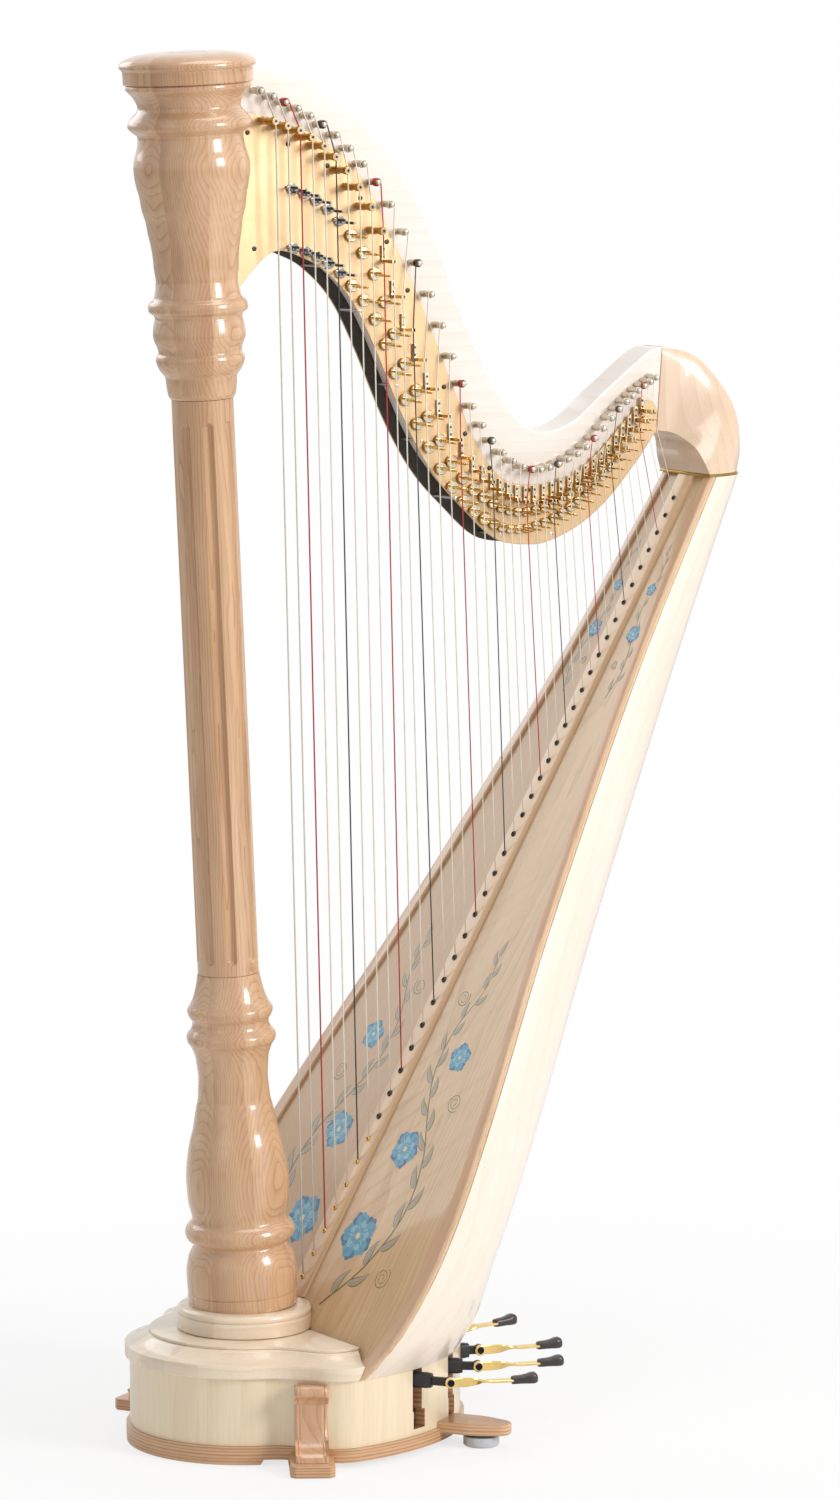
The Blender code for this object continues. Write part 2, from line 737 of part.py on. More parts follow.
def build_base_wall():
    outer = base_outline(WALL_INSET)
    inner = base_outline(WALL_INSET + WALL_THICK)
    body = flat_solid(outer, RING_HIGH + SEAT, WALL_HIGH, holes=[inner])
    half = SLEEVE_THICK / 2
    for index, (name, place, arm, reach) in enumerate(PEDALS):
        middle = wall_point(place)
        way = lever_way(index)
        turn = math.atan2(way.y, way.x)
        side = Vector((-way.y, way.x, 0)) * outer_side(index)
        high = WALL_HIGH + 5 * MM
        upper = box(
            Vector((middle.x, middle.y, (SLOT_STEP + high) / 2)),
            (5 * WALL_THICK, 2 * (half + SLOT_CLEAR), high - SLOT_STEP), turn)
        tight = half + SLOT_TIGHT
        wide = half + SLOT_CLEAR + SLOT_SHIFT
        low_high = SLOT_STEP + 1 * MM
        lower = box(
            Vector((middle.x, middle.y, (SLOT_LOW + low_high) / 2)) + side * (wide - tight) / 2,
            (5 * WALL_THICK, wide + tight, low_high - SLOT_LOW), turn)
        combine(body, upper, "DIFFERENCE")
        combine(body, lower, "DIFFERENCE")
    finish_part(body, "base_wall", "maple")


def bore_cutter(low, high):
    body = cylinder(BORE_RADIUS, (0, 0, low), (0, 0, high), 16)
    return move_mesh(body, COLUMN.matrix_basis)


def build_base_top():
    rear = board_x(WALL_HIGH) + TOP_BEHIND_BOARD
    levels = (
        (WALL_HIGH + SEAT, 3 * MM), (WALL_HIGH + 8 * MM, 0), (ARRIS_HIGH, 0),
        (ARRIS_HIGH + 4 * MM, 4 * MM), (ARRIS_HIGH + 7 * MM, 13 * MM),
        (ARRIS_HIGH + 11 * MM, 22 * MM), (STEP_HIGH, FLAT_INSET - 1 * MM),
        (BASE_HIGH, FLAT_INSET),
    )
    rings = [[(x, y, z) for x, y in base_outline(inset, rear)] for z, inset in levels]
    body = loft(rings)
    slice_off(body, board_point(0, -RIB_THICK + TRIM_THICK + SEAT),
              (math.sin(BOARD_SLOPE), 0, -math.cos(BOARD_SLOPE)))
    combine(body, bore_cutter(-60 * MM, 20 * MM), "DIFFERENCE")
    finish_part(body, "base_top", "beech")


def build_brackets(envelope):
    outline = [(u * MM, z * MM) for u, z in BRACKET_PROFILE]
    body = upright_solid(outline, -BRACKET_WIDTH / 2, BRACKET_WIDTH / 2)
    move_mesh(body, bracket_matrix())
    tool = bpy.data.objects.new("tool", envelope.data.copy())
    WORK.objects.link(tool)
    combine(body, tool, "DIFFERENCE")
    keep_outside(body)
    finish_part(mirrored(body), "scroll_bracket_right", "beech")
    finish_part(body, "scroll_bracket_left", "beech")


def keep_outside(body):
    """Remove all but the largest shell of a cut work object."""
    maker = bmesh.new()
    maker.from_mesh(body.data)
    shells = []
    left = set(maker.verts)
    while left:
        stack = [left.pop()]
        shell = set(stack)
        while stack:
            for edge in stack.pop().link_edges:
                for vert in edge.verts:
                    if vert in left:
                        left.remove(vert)
                        shell.add(vert)
                        stack.append(vert)
        shells.append(shell)
    shells.sort(key=lambda shell: max(v.co.z for v in shell) - min(v.co.z for v in shell))
    for shell in shells[:-1]:
        bmesh.ops.delete(maker, geom=list(shell), context="VERTS")
    maker.to_mesh(body.data)
    maker.free()


def build_rear_feet(envelope):
    along = (TONGUE_TIP - TONGUE_START).normalized()
    side = Vector((-along.y, along.x, 0))
    length = (TONGUE_TIP - TONGUE_START).length
    half = TONGUE_WIDTH / 2
    tip = half * TONGUE_TIP_SHARE
    edge = [(0, half), (length * 0.55, half), (length - tip * 0.8, tip),
            (length - tip * 0.2, tip * 0.75), (length, tip * 0.2)]
    outline = []
    for run, off in [(run, -off) for run, off in edge] + edge[::-1]:
        spot = TONGUE_START + along * run + side * off
        outline.append((spot.x, spot.y))
    body = flat_solid(outline, TONGUE_LOW, TONGUE_HIGH)
    tool = bpy.data.objects.new("tool", envelope.data.copy())
    WORK.objects.link(tool)
    combine(body, tool, "DIFFERENCE")
    finish_part(mirrored(body), "rear_foot_right", "plywood")
    finish_part(body, "rear_foot_left", "plywood")
    pad_spot = TONGUE_TIP - along * PAD_FROM_TIP
    for name, way in (("left", 1), ("right", -1)):
        place = (pad_spot.x, pad_spot.y * way, 0)
        profile = ((PAD_RADIUS, TONGUE_LOW - SEAT), (PAD_RADIUS, PAD_CHAMFER * 1.5),
                   (PAD_RADIUS - PAD_CHAMFER, 0))
        finish_part(turned_solid(profile, steps=16), f"foot_pad_{name}", "pad", location=place)


# Column

def scaled(profile):
    return [(r * MM, z * MM) for r, z in profile]


def build_column():
    plinth = turned_solid(scaled(PLINTH_PROFILE), BORE_RADIUS + 2 * MM)
    point = board_point(0, -RIB_THICK + SEAT) - Vector((0, 0, BASE_HIGH))
    slice_off(plinth, point, (math.sin(BOARD_SLOPE), 0, -math.cos(BOARD_SLOPE)))
    finish_part(plinth, "column_plinth", "beech", location=(0, 0, BASE_HIGH))
    foot = turned_solid(scaled(FOOT_PROFILE), BORE_RADIUS)
    normal = COLUMN.matrix_basis.to_3x3().inverted() @ Vector((0, 0, -1))
    point = COLUMN.matrix_basis.inverted() @ Vector((0, 0, BASE_HIGH + FOOT_LOW))
    slice_off(foot, point, normal)
    finish_part(foot, "column_base", "beech", COLUMN)
    profile = ((SHAFT_RADIUS, SHAFT_HIGH), (SHAFT_RADIUS, SHAFT_LOW))
    shaft = turned_solid(profile, BORE_RADIUS)
    low = SHAFT_LOW + FLUTE_MARGIN
    high = SHAFT_HIGH - FLUTE_MARGIN
    reach = SHAFT_RADIUS - FLUTE_DEPTH + FLUTE_RADIUS
    flutes = []
    for k in range(FLUTE_COUNT):
        angle = 2 * math.pi * (k + 0.5) / FLUTE_COUNT
        spot = Vector((math.cos(angle), math.sin(angle), 0)) * reach
        body = cylinder(FLUTE_RADIUS, spot + Vector((0, 0, low)), spot + Vector((0, 0, high)), 8,
                        turn=angle)
        maker = bmesh.new()
        maker.from_mesh(body.data)
        for end, way in ((low, -1), (high, 1)):
            cap = [f for f in maker.faces if abs(f.calc_center_median().z - end) < 1e-6]
            grown = bmesh.ops.inset_region(
                maker, faces=cap, thickness=FLUTE_RADIUS * FLUTE_END_SHARE)
            cap = [f for f in maker.faces if abs(f.calc_center_median().z - end) < 1e-6
                   and f not in grown["faces"]]
            for vert in cap[0].verts:
                vert.co.z += way * FLUTE_RADIUS * FLUTE_END_RISE
        maker.to_mesh(body.data)
        maker.free()
        flutes.append(body)
    combine(shaft, gather(flutes), "DIFFERENCE")
    finish_part(shaft, "column_shaft", "beech", COLUMN)
    capital = turned_solid(scaled(CAPITAL_PROFILE), BORE_RADIUS)
    finish_part(capital, "column_capital", "beech", COLUMN)
    cap = turned_solid(scaled(CAP_PROFILE))
    finish_part(cap, "column_cap", "beech", COLUMN)


def column_envelope():
    """Cutter for what is fitted against the capital and the cap."""
    profile = [(r + SEAT / MM, z) for r, z in CAP_PROFILE + CAPITAL_PROFILE]
    profile[0] = (profile[0][0], profile[0][1] + 2)
    body = turned_solid(scaled(profile))
    return move_mesh(body, COLUMN.matrix_basis)


# Soundbox

def build_soundboard():
    low = string_station(1) - BOARD_BELOW
    high = (BODY_HIGH - GROMMET_Z) / math.sin(BOARD_SLOPE) + OVERRUN
    steps = 26
    stations = [low + (high - low) * k / steps for k in range(steps + 1)]
    edge = [(s, -board_half(s)) for s in stations]
    outline = edge + [(s, -y) for s, y in edge[::-1]]
    front = -RIB_THICK
    back = front - BOARD_THICK
    body = flat_solid(outline, back, front)
    trim_body(body, WALL_HIGH + SEAT)
    finish_part(body, "soundboard", "spruce", BOARD)
    for name, way in (("left", -1), ("right", 1)):
        outer = []
        inner = []
        for s in stations:
            share = (s - low) / (high - low)
            width = TRIM_LOW_WIDTH + (TRIM_TOP_WIDTH - TRIM_LOW_WIDTH) * share
            outer.append((s, board_half(s)))
            inner.append((s, board_half(s) - width))
        rings = []
        for (s, out), (_, inn) in zip(outer, inner):
            low_face = front + SEAT
            high_face = front + TRIM_THICK
            rings.append([
                (s, way * inn, low_face), (s, way * out, low_face),
                (s, way * (out - TRIM_CHAMFER), high_face), (s, way * inn, high_face)])
        strip = loft(rings)
        trim_body(strip, WALL_HIGH + SEAT)
        finish_part(strip, f"soundboard_trim_{name}", "beech", BOARD)


def trim_body(body, low):
    """Cut a piece of the board level with the top of the box and at a lower level."""
    to_board = BOARD.matrix_basis.inverted()
    up = to_board.to_3x3() @ Vector((0, 0, 1))
    slice_off(body, to_board @ Vector((0, 0, BODY_HIGH)), up)
    slice_off(body, to_board @ Vector((0, 0, low)), -up)


def shell_ring(level, inset):
    """Points of one level of the shell, from one edge of the board round the back."""
    z = level * MM
    out = -RIB_THICK - BOARD_THICK - SEAT
    front = board_x(z, out)
    half = board_half((z - GROMMET_Z) / math.sin(BOARD_SLOPE)) - inset
    depth = curve_value(BODY_DEPTH, level)[0] - (front - board_x(z)) - inset
    points = []
    for k in range(SHELL_SIDES + 1):
        angle = math.pi * k / SHELL_SIDES
        points.append((front + depth * math.sin(angle), -half * math.cos(angle), z))
    return points


def build_shell():
    rings = [shell_ring(level, 0) + shell_ring(level, SHELL_THICK)[::-1] for level in SHELL_LEVELS]
    body = loft(rings)
    cutters = []
    for level in HOLE_LEVELS:
        z = level * MM
        ring = shell_ring(level, 0)
        back = max(point[0] for point in ring)
        half = max(point[1] for point in ring)
        hole = cylinder(1, (-1, 0, 0), (1, 0, 0), 12)
        size = Matrix.Diagonal((HOLE_REACH, HOLE_SHARE * half, HOLE_HALF_HIGH, 1))
        cutters.append(move_mesh(hole, Matrix.Translation((back, 0, z)) @ size))
    combine(body, gather(cutters), "DIFFERENCE")
    finish_part(body, "soundbox_shell", "pale_maple")


def build_rib_and_strings():
    low = string_station(1) - RIB_BELOW
    high = (BODY_HIGH - GROMMET_Z) / math.sin(BOARD_SLOPE) + OVERRUN
    foot = -RIB_THICK + SEAT
    top = RIB_HALF - RIB_CHAMFER
    outline = ((-RIB_HALF, foot), (RIB_HALF, foot), (top, 0), (-top, 0))
    body = loft([[(s, y, z) for y, z in outline] for s in (low, high)])
    trim_body(body, BASE_HIGH + FOOT_LOW + SEAT)
    move_mesh(body, BOARD.matrix_basis)
    wires = []
    for number in range(1, STRING_COUNT + 1):
        station = string_station(number)
        share = (number - 1) / (STRING_COUNT - 1)
        size = GROMMET_LOW + (GROMMET_TOP - GROMMET_LOW) * share
        wires.append(cylinder(
            size, board_point(station, -SINK), board_point(station, GROMMET_HIGH), 6, size * 0.6))
        wires.append(tube([board_point(station, -2 * SINK), nut_point(number), string_end(number)],
                          string_radius(number)))
    combine(body, gather(wires), "UNION", crossing=True)
    finish_part(body, "string_rib", "string")


# Neck

def build_neck():
    outline = smooth_line(NECK_UPPER) + smooth_line(NECK_LOWER)
    body = upright_solid(outline, NECK_NEAR, NECK_NEAR + NECK_WIDTH)
    combine(body, column_envelope(), "DIFFERENCE")
    fittings = []
    far = NECK_NEAR + NECK_WIDTH
    for number in range(1, STRING_COUNT + 1):
        spot = tuning_point(number)
        near_end = Vector((spot.x, NECK_NEAR - PIN_OUT, spot.z))
        inside = Vector((spot.x, NECK_NEAR + 5 * MM, spot.z))
        fittings.append(cylinder(PIN_RADIUS, near_end, inside, 6))
        fittings.append(box(
            (spot.x, far + HEAD_OUT / 2 - 2 * MM, spot.z), (HEAD_SIZE, HEAD_OUT + 4 * MM, HEAD_SIZE)))
    combine(body, gather(fittings), "UNION", crossing=True)
    finish_part(body, "neck", "pale_maple")


def plate_outline():
    return smooth_line(PLATE_UPPER) + smooth_line(PLATE_LOWER)


def nut_block(number):
    """Slotted nut: a block with the string in a slot that opens to the player's left."""
    top = nut_point(number)
    below = (top - board_point(string_station(number))).normalized()
    above = (string_end(number) - top).normalized()
    steepest = max(abs(below.x / below.z), abs(above.x / above.z))
    slot = string_radius(number) * (1 + steepest) + STRING_CLEAR + NUT_HIGH / 2 * steepest
    half = slot + NUT_WALL
    near = PLATE_NEAR - NUT_OUT
    root = PLATE_NEAR + SINK
    bottom = string_radius(number) + 0.5 * MM
    outline = ((-half, near), (-slot, near), (-slot, bottom), (slot, bottom), (slot, near),
               (half, near), (half, root), (-half, root))
    body = flat_solid(outline, -NUT_HIGH / 2, NUT_HIGH / 2)
    return move_mesh(body, Matrix.Translation((top.x, 0, top.z)))


def disc_fitting(middle, radius, down, root, moving=False, sides=8):
    """Disc with its two prongs beside the string, and what it stands on or turns in."""
    face = PLATE_NEAR - DISC_OFF - DISC_THICK
    prong = min(PRONG_RADIUS, radius * PRONG_SHARE)
    reach = radius - prong - PRONG_EDGE
    turn = math.atan2(down.z, down.x) + PRONG_TURN
    front = (middle.x, face, middle.z)
    if moving:
        back = (middle.x, PLATE_NEAR - DISC_OFF, middle.z)
        neck = (middle.x, face + SINK, middle.z)
        bodies = [cylinder(radius, back, front, sides),
                  cylinder(SPINDLE_RADIUS, (middle.x, root, middle.z), neck, 6)]
    else:
        bodies = [cylinder(radius, (middle.x, root, middle.z), front, sides)]
    for way in (1, -1):
        x = middle.x + way * reach * math.cos(turn)
        z = middle.z + way * reach * math.sin(turn)
        bodies.append(cylinder(
            prong, (x, face + SINK, z), (x, -PRONG_PAST, z), 4 if moving else 3))
    return bodies


def build_plates():
    far = NECK_NEAR + NECK_WIDTH + SEAT
    right = upright_solid(plate_outline(), far, far + PLATE_THICK)
    combine(right, column_envelope(), "DIFFERENCE")
    posts = []
    for x, z in SPACERS:
        near_end = (x * MM, PLATE_NEAR + PLATE_THICK + SEAT, z * MM)
        posts.append(cylinder(POST_THICK / 2, near_end, (x * MM, far + SINK, z * MM), 8))
    combine(right, gather(posts), "UNION")
    finish_part(right, "action_plate_right", "plate_brass")
    left = upright_solid(plate_outline(), PLATE_NEAR, PLATE_NEAR + PLATE_THICK)
    combine(left, column_envelope(), "DIFFERENCE")
    root = PLATE_NEAR + SINK
    fittings = []
    for x, z in PLATE_SCREWS:
        fittings.append(cylinder(
            SCREW_RADIUS, (x * MM, root, z * MM), (x * MM, PLATE_NEAR - SCREW_PROUD, z * MM), 6))
    for number in range(1, STRING_COUNT + 1):
        top = nut_point(number)
        if number <= BRIDGE_PINS:
            x = top.x - BRIDGE_RADIUS - string_radius(number) - SEAT
            near_end = (x, PLATE_NEAR - BRIDGE_OUT, top.z)
            fittings.append(cylinder(BRIDGE_RADIUS, (x, root, top.z), near_end, 8))
        else:
            fittings.append(nut_block(number))
        if number < FIRST_DISC:
            continue
        natural, sharp, radius, down = disc_points(number)
        if FIRST_MOVING <= number < FIRST_MOVING + len(NOTES):
            for middle in (natural, sharp):
                hole = cylinder(
                    SPINDLE_RADIUS + SPINDLE_CLEAR, (middle.x, PLATE_NEAR - PLATE_THICK, middle.z),
                    (middle.x, PLATE_NEAR + 2 * PLATE_THICK, middle.z), 8)
                combine(left, hole, "DIFFERENCE")
            continue
        for middle in (natural, sharp):
            sides = 8 if number <= LAST_LARGE else 6
            fittings += disc_fitting(middle, radius, down, root, sides=sides)
    combine(left, gather(fittings), "UNION", crossing=True)
    finish_part(left, "action_plate_left", "plate_brass")


def build_moving_discs():
    for k, note in enumerate(NOTES):
        number = FIRST_MOVING + k
        natural, sharp, radius, down = disc_points(number)
        for kind, middle in (("natural", natural), ("sharp", sharp)):
            root = PLATE_NEAR + PLATE_THICK
            bodies = disc_fitting(Vector((0, 0, 0)), radius, down, root, moving=True, sides=10)
            body = bodies[0]
            combine(body, gather(bodies[1:]), "UNION", crossing=True)
            finish_part(body, f"{kind}_disc_{note}", "brass", location=(middle.x, 0, middle.z))


# Shoulder

def shoulder_ring(values, sides=20):
    inner_x, inner_z, outer_x, outer_z, near, far, roundness = values
    inner = Vector((inner_x, 0, inner_z)) * MM
    outer = Vector((outer_x, 0, outer_z)) * MM
    middle = (near + far) / 2 * MM
    half = (far - near) / 2 * MM
    points = []
    for k in range(sides + 1):
        angle = math.pi * k / sides
        c = math.cos(angle)
        s = math.sin(angle)
        across = math.copysign(abs(c) ** roundness, c)
        point = inner + (outer - inner) * s ** roundness
        points.append((point.x, middle - half * across, point.z))
    return points


def build_shoulder():
    rows = [(k, *row) for k, row in enumerate(SHOULDER_SECTIONS)]
    steps = 2
    rings = []
    for k in range((len(rows) - 1) * steps + 1):
        values = [value / MM for value in curve_value(rows, k / steps)]
        rings.append(shoulder_ring(values))
    body = loft(rings)
    finish_part(body, "shoulder", "pale_maple")
    low = BODY_HIGH + SEAT
    foot = shoulder_ring(SHOULDER_SECTIONS[-1])
    middle_x = sum(x for x, y, z in foot) / len(foot)
    outline = []
    for x, y, z in foot:
        spread = BAND_PROUD if x > middle_x else BAND_PROUD * 0.5
        outline.append((x + math.copysign(spread, x - middle_x), y + math.copysign(spread, y)))
    band = flat_solid(outline, low, low + BAND_HIGH - 2 * SEAT)
    finish_part(band, "shoulder_band", "brass")


# Pedals

def fold_point(index):
    return wall_point(PEDALS[index][1]) + lever_way(index) * PEDALS[index][3] * MM


def arm_turn(index):
    return math.radians(PEDALS[index][2])


def build_pedal_frame():
    """Curved rail with a post on each side of every lever and a pin through each."""
    angles = [math.atan2(lever_way(k).y, lever_way(k).x) for k in range(len(PEDALS))]
    posts = [(low + high) / 2 for low, high in zip(angles, angles[1:])]
    posts = [angles[0] - FRAME_END, *posts, angles[-1] + FRAME_END]
    inner = FULCRUM_CIRCLE - FRAME_WIDTH / 2
    outer = FULCRUM_CIRCLE + FRAME_WIDTH / 2
    start = posts[0] - FRAME_PAST
    span = posts[-1] + FRAME_PAST - start
    bends = [start + span * k / 14 for k in range(15)]
    outline = [(outer * math.cos(a), outer * math.sin(a)) for a in bends]
    outline += [(inner * math.cos(a), inner * math.sin(a)) for a in bends[::-1]]
    low = RING_HIGH + SEAT
    body = flat_solid(outline, low, low + FRAME_THICK)
    pieces = []
    for angle in posts:
        spot = Vector((math.cos(angle), math.sin(angle), 0)) * FULCRUM_CIRCLE
        foot = spot + Vector((0, 0, low + FRAME_THICK / 2))
        head = spot + Vector((0, 0, LEVER_Z + AXLE_RADIUS + 1.5 * MM))
        pieces.append(cylinder(POST_RADIUS, foot, head, 6))
    for k, angle in enumerate(angles):
        spot = Vector((math.cos(angle), math.sin(angle), 0)) * FULCRUM_CIRCLE
        spot.z = LEVER_Z
        along = Vector((-math.sin(angle), math.cos(angle), 0))
        back = FULCRUM_CIRCLE * math.tan(angle - posts[k])
        ahead = FULCRUM_CIRCLE * math.tan(posts[k + 1] - angle)
        pieces.append(cylinder(AXLE_RADIUS, spot - along * back, spot + along * ahead, 6))
    combine(body, gather(pieces), "UNION", crossing=True)
    finish_part(body, "pedal_frame", "steel")


def build_lever(index):
    name = PEDALS[index][0]
    way = lever_way(index)
    side = Vector((-way.y, way.x, 0))
    fulcrum = way * FULCRUM_CIRCLE + Vector((0, 0, LEVER_Z))
    pivot = fold_point(index)
    reach = pivot.xy.length
    tip = LEVER_TIP_THICK / 2
    half = LEVER_THICK / 2
    rows = ((LEVER_START, -tip), (FULCRUM_CIRCLE, -half), (reach, -half),
            (reach, half), (FULCRUM_CIRCLE, half), (LEVER_START, tip))
    outline = [((way * run + side * off).x, (way * run + side * off).y) for run, off in rows]
    body = flat_solid(outline, LEVER_Z - LEVER_HIGH / 2, LEVER_Z + LEVER_HIGH / 2)
    boss = cylinder(EYE_RADIUS, fulcrum - side * half, fulcrum + side * half, 10)
    combine(body, boss, "UNION")
    past = side * 2 * LEVER_THICK
    bore = cylinder(AXLE_RADIUS + AXLE_CLEAR, fulcrum - past, fulcrum + past, 10)
    combine(body, bore, "DIFFERENCE")
    wall = wall_point(PEDALS[index][1])
    sleeve_out = PEDALS[index][3] * MM * SLEEVE_SHARE
    sleeve = box(
        wall + way * (sleeve_out - SLEEVE_IN) / 2,
        (SLEEVE_IN + sleeve_out, SLEEVE_THICK, SLEEVE_HIGH), math.atan2(way.y, way.x))
    combine(body, sleeve, "UNION")
    turn = arm_turn(index)
    outward = Vector((math.sin(turn), -math.cos(turn), 0)) * outer_side(index)
    knuckle = cylinder(FOLD_RADIUS, pivot - outward * KNUCKLE_HALF, pivot + outward * KNUCKLE_HALF, 8)
    combine(body, knuckle, "UNION")
    bolt_out = KNUCKLE_HALF + SEAT + ARM_THICK + BOLT_HEAD
    combine(body, cylinder(BOLT_RADIUS, pivot, pivot + outward * bolt_out, 6), "UNION")
    move_mesh(body, Matrix.Translation(-fulcrum))
    finish_part(body, f"pedal_lever_{name}", "black_metal", location=fulcrum)


def arm_mesh():
    """Folding pedal: eye round the bolt, twisted brass bar and rubber cap, along +X."""
    near = -(KNUCKLE_HALF + SEAT)
    middle = near - ARM_THICK / 2
    rings = []
    steps = 5
    for k in range(steps + 1):
        share = k / steps
        x = 2 * MM + (CAP_START + 6 * MM) * share
        twist = math.pi / 2 * min(max((share - 0.15) / 0.6, 0), 1)
        half_wide = ARM_WIDE / 2
        half_thick = ARM_THICK / 2
        ring = []
        for wide, thick in ((-1, -1), (1, -1), (1, 1), (-1, 1)):
            z = wide * half_wide
            y = thick * half_thick
            ring.append((x, middle + y * math.cos(twist) - z * math.sin(twist),
                         y * math.sin(twist) + z * math.cos(twist)))
        rings.append(ring)
    body = loft(rings)
    eye = cylinder(FOLD_RADIUS, (0, near, 0), (0, near - ARM_THICK, 0), 10)
    combine(body, eye, "UNION")
    hole = cylinder(BOLT_RADIUS + BOLT_CLEAR, (0, 1 * MM, 0), (0, near - ARM_THICK - 2 * MM, 0), 8)
    combine(body, hole, "DIFFERENCE")
    maker = bmesh.new()
    bmesh.ops.create_uvsphere(maker, u_segments=8, v_segments=5, radius=1)
    length = (ARM_LENGTH - CAP_START) / 2
    bmesh.ops.transform(
        maker, verts=maker.verts,
        matrix=Matrix.Translation((CAP_START + length, middle, CAP_LIFT))
        @ Matrix.Diagonal((length, CAP_HALF_WIDE, CAP_HALF_HIGH, 1))
        @ Matrix.Rotation(math.pi / 2, 4, "Y"))
    for vert in maker.verts:
        if vert.co.x < CAP_START + length * 0.6:
            off = vert.co.y - middle
            vert.co.y = middle + math.copysign(max(abs(off), CAP_NECK_HALF), off)
    combine(body, work_object(maker), "UNION")
    return body


def build_pedals():
    pattern = arm_mesh()
    other = mirrored(pattern)
    for index, (name, place, arm, reach) in enumerate(PEDALS):
        build_lever(index)
        shape = pattern if outer_side(index) > 0 else other
        body = bpy.data.objects.new("arm", shape.data.copy())
        WORK.objects.link(body)
        finish_part(body, f"pedal_{name}", "brass", location=fold_point(index),
                    rotation=(0, 0, arm_turn(index)))
        spot = lever_way(index) * ROD_CIRCLE
        top = LEVER_Z + LEVER_HIGH / 2 + ROD_GAP
        low = (top - BASE_HIGH - spot.x * math.sin(LEAN)) / math.cos(LEAN)
        rod = cylinder(ROD_RADIUS, (0, 0, low), (0, 0, ROD_HIGH), 6)
        finish_part(rod, f"pedal_rod_{name}", "steel", COLUMN, spot)
    bpy.data.objects.remove(pattern)
    bpy.data.objects.remove(other)


def centre_harp():
    """Move the whole harp along X so that its origin lies under the middle of its box."""
    bpy.context.view_layer.update()
    places = [(body.matrix_world @ Vector(corner)).x
              for body in PARTS.objects for corner in body.bound_box]
    HARP.location.x = -(min(places) + max(places)) / 2
    bpy.context.view_layer.update()


def main():
    bpy.context.view_layer.update()
    build_base_plate()
    build_base_wall()
    build_base_top()
    envelope = base_envelope()
    build_brackets(envelope)
    build_rear_feet(envelope)
    bpy.data.objects.remove(envelope)
    build_column()
    build_soundboard()
    build_shell()
    build_rib_and_strings()
    build_neck()
    build_plates()
    build_moving_discs()
    build_shoulder()
    build_pedal_frame()
    build_pedals()
    centre_harp()


main()
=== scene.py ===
"""Looks of a pedal harp with forty strings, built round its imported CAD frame.

Pieces are made in the design frame, whose X zero is on the column's foot, and are then moved
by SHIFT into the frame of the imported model. Heights are above the floor.
"""
import math

import bmesh
import bpy
from mathutils import Matrix, Vector
from mathutils.geometry import interpolate_bezier


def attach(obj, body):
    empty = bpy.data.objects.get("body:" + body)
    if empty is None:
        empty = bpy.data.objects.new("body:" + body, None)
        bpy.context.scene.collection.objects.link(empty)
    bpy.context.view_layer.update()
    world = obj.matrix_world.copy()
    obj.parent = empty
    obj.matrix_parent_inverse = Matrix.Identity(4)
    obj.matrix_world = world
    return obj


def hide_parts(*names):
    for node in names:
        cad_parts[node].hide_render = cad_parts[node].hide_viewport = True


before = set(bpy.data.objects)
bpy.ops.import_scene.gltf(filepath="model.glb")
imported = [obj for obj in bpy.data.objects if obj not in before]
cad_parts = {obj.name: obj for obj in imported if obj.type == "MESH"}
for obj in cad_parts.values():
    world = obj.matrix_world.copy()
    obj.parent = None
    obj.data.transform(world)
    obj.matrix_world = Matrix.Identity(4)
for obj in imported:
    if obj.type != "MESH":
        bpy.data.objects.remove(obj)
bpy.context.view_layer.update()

MM = 0.001
SHIFT = Vector((-0.29048884, 0, 0))
BODY = "harp_body"

# Sizes that the CAD part has too
SEAT = 0.3 * MM
RING_LOW = 6 * MM
RING_HIGH = 22 * MM
WALL_HIGH = 104.6 * MM
BASE_HIGH = 138.6 * MM
LOBE_RADIUS = 146 * MM
LOBE_END = math.radians(112)
CORNER_X = 36 * MM
CORNER_Y = 206 * MM
REAR_LENGTH = 253 * MM
RING_INSET = 1.5 * MM
WALL_INSET = 6 * MM
WALL_THICK = 12 * MM
FRONT_FOOT_X = -58 * MM
TOE_HIGH = 14 * MM
TOE_LENGTH = 64 * MM
TOE_WIDTH = 54 * MM
BRACKET_WIDTH = 40 * MM
BRACKET_TURN = math.radians(-120)
LOBE_EDGE = LOBE_RADIUS * Vector((math.cos(LOBE_END), -math.sin(LOBE_END), 0))
CORNER = Vector((CORNER_X, -CORNER_Y, 0))
BRACKET_SPOT = (LOBE_EDGE + CORNER) / 2 + Vector((0.3 * MM, 2.7 * MM, 0))
TONGUE_LOW = 16 * MM
TONGUE_HIGH = 30 * MM
TONGUE_START = Vector((REAR_LENGTH - 75 * MM, 76 * MM - CORNER_Y, 0))
TONGUE_TIP = Vector((REAR_LENGTH - 12 * MM, -18 * MM - CORNER_Y, 0))
TONGUE_WIDTH = 52 * MM
PAD_RADIUS = 22 * MM
PAD_FROM_TIP = 38 * MM
LEAN = math.radians(2.71)
SHAFT_RADIUS = 37 * MM
FLUTE_COUNT = 8
FLUTE_RADIUS = 6.5 * MM
STRING_COUNT = 40
GROMMET_X = 84 * MM
GROMMET_Z = 189.6 * MM
BOARD_SLOPE = math.radians(59.36)
WIDE_GAP = 31.3 * MM
NARROW_GAP = 24.7 * MM
WIDE_GAPS = 13
TAPER_GAPS = 10
BASS_RADIUS = 1.0 * MM
TREBLE_RADIUS = 0.4 * MM
RIB_HALF = 17.5 * MM
RIB_THICK = 5 * MM
BOARD_THICK = 4 * MM
TRIM_THICK = 4 * MM
TRIM_TOP_WIDTH = 12 * MM
TRIM_LOW_WIDTH = 26 * MM
BODY_HIGH = 1149.5 * MM
SHELL_THICK = 5 * MM
HOLE_LEVELS = (270, 430, 590, 750, 910)
BAND_HIGH = 3.2 * MM
NECK_NEAR = 26.8 * MM
NECK_WIDTH = 45.4 * MM
PLATE_THICK = 3 * MM
PLATE_NEAR = NECK_NEAR - SEAT - PLATE_THICK
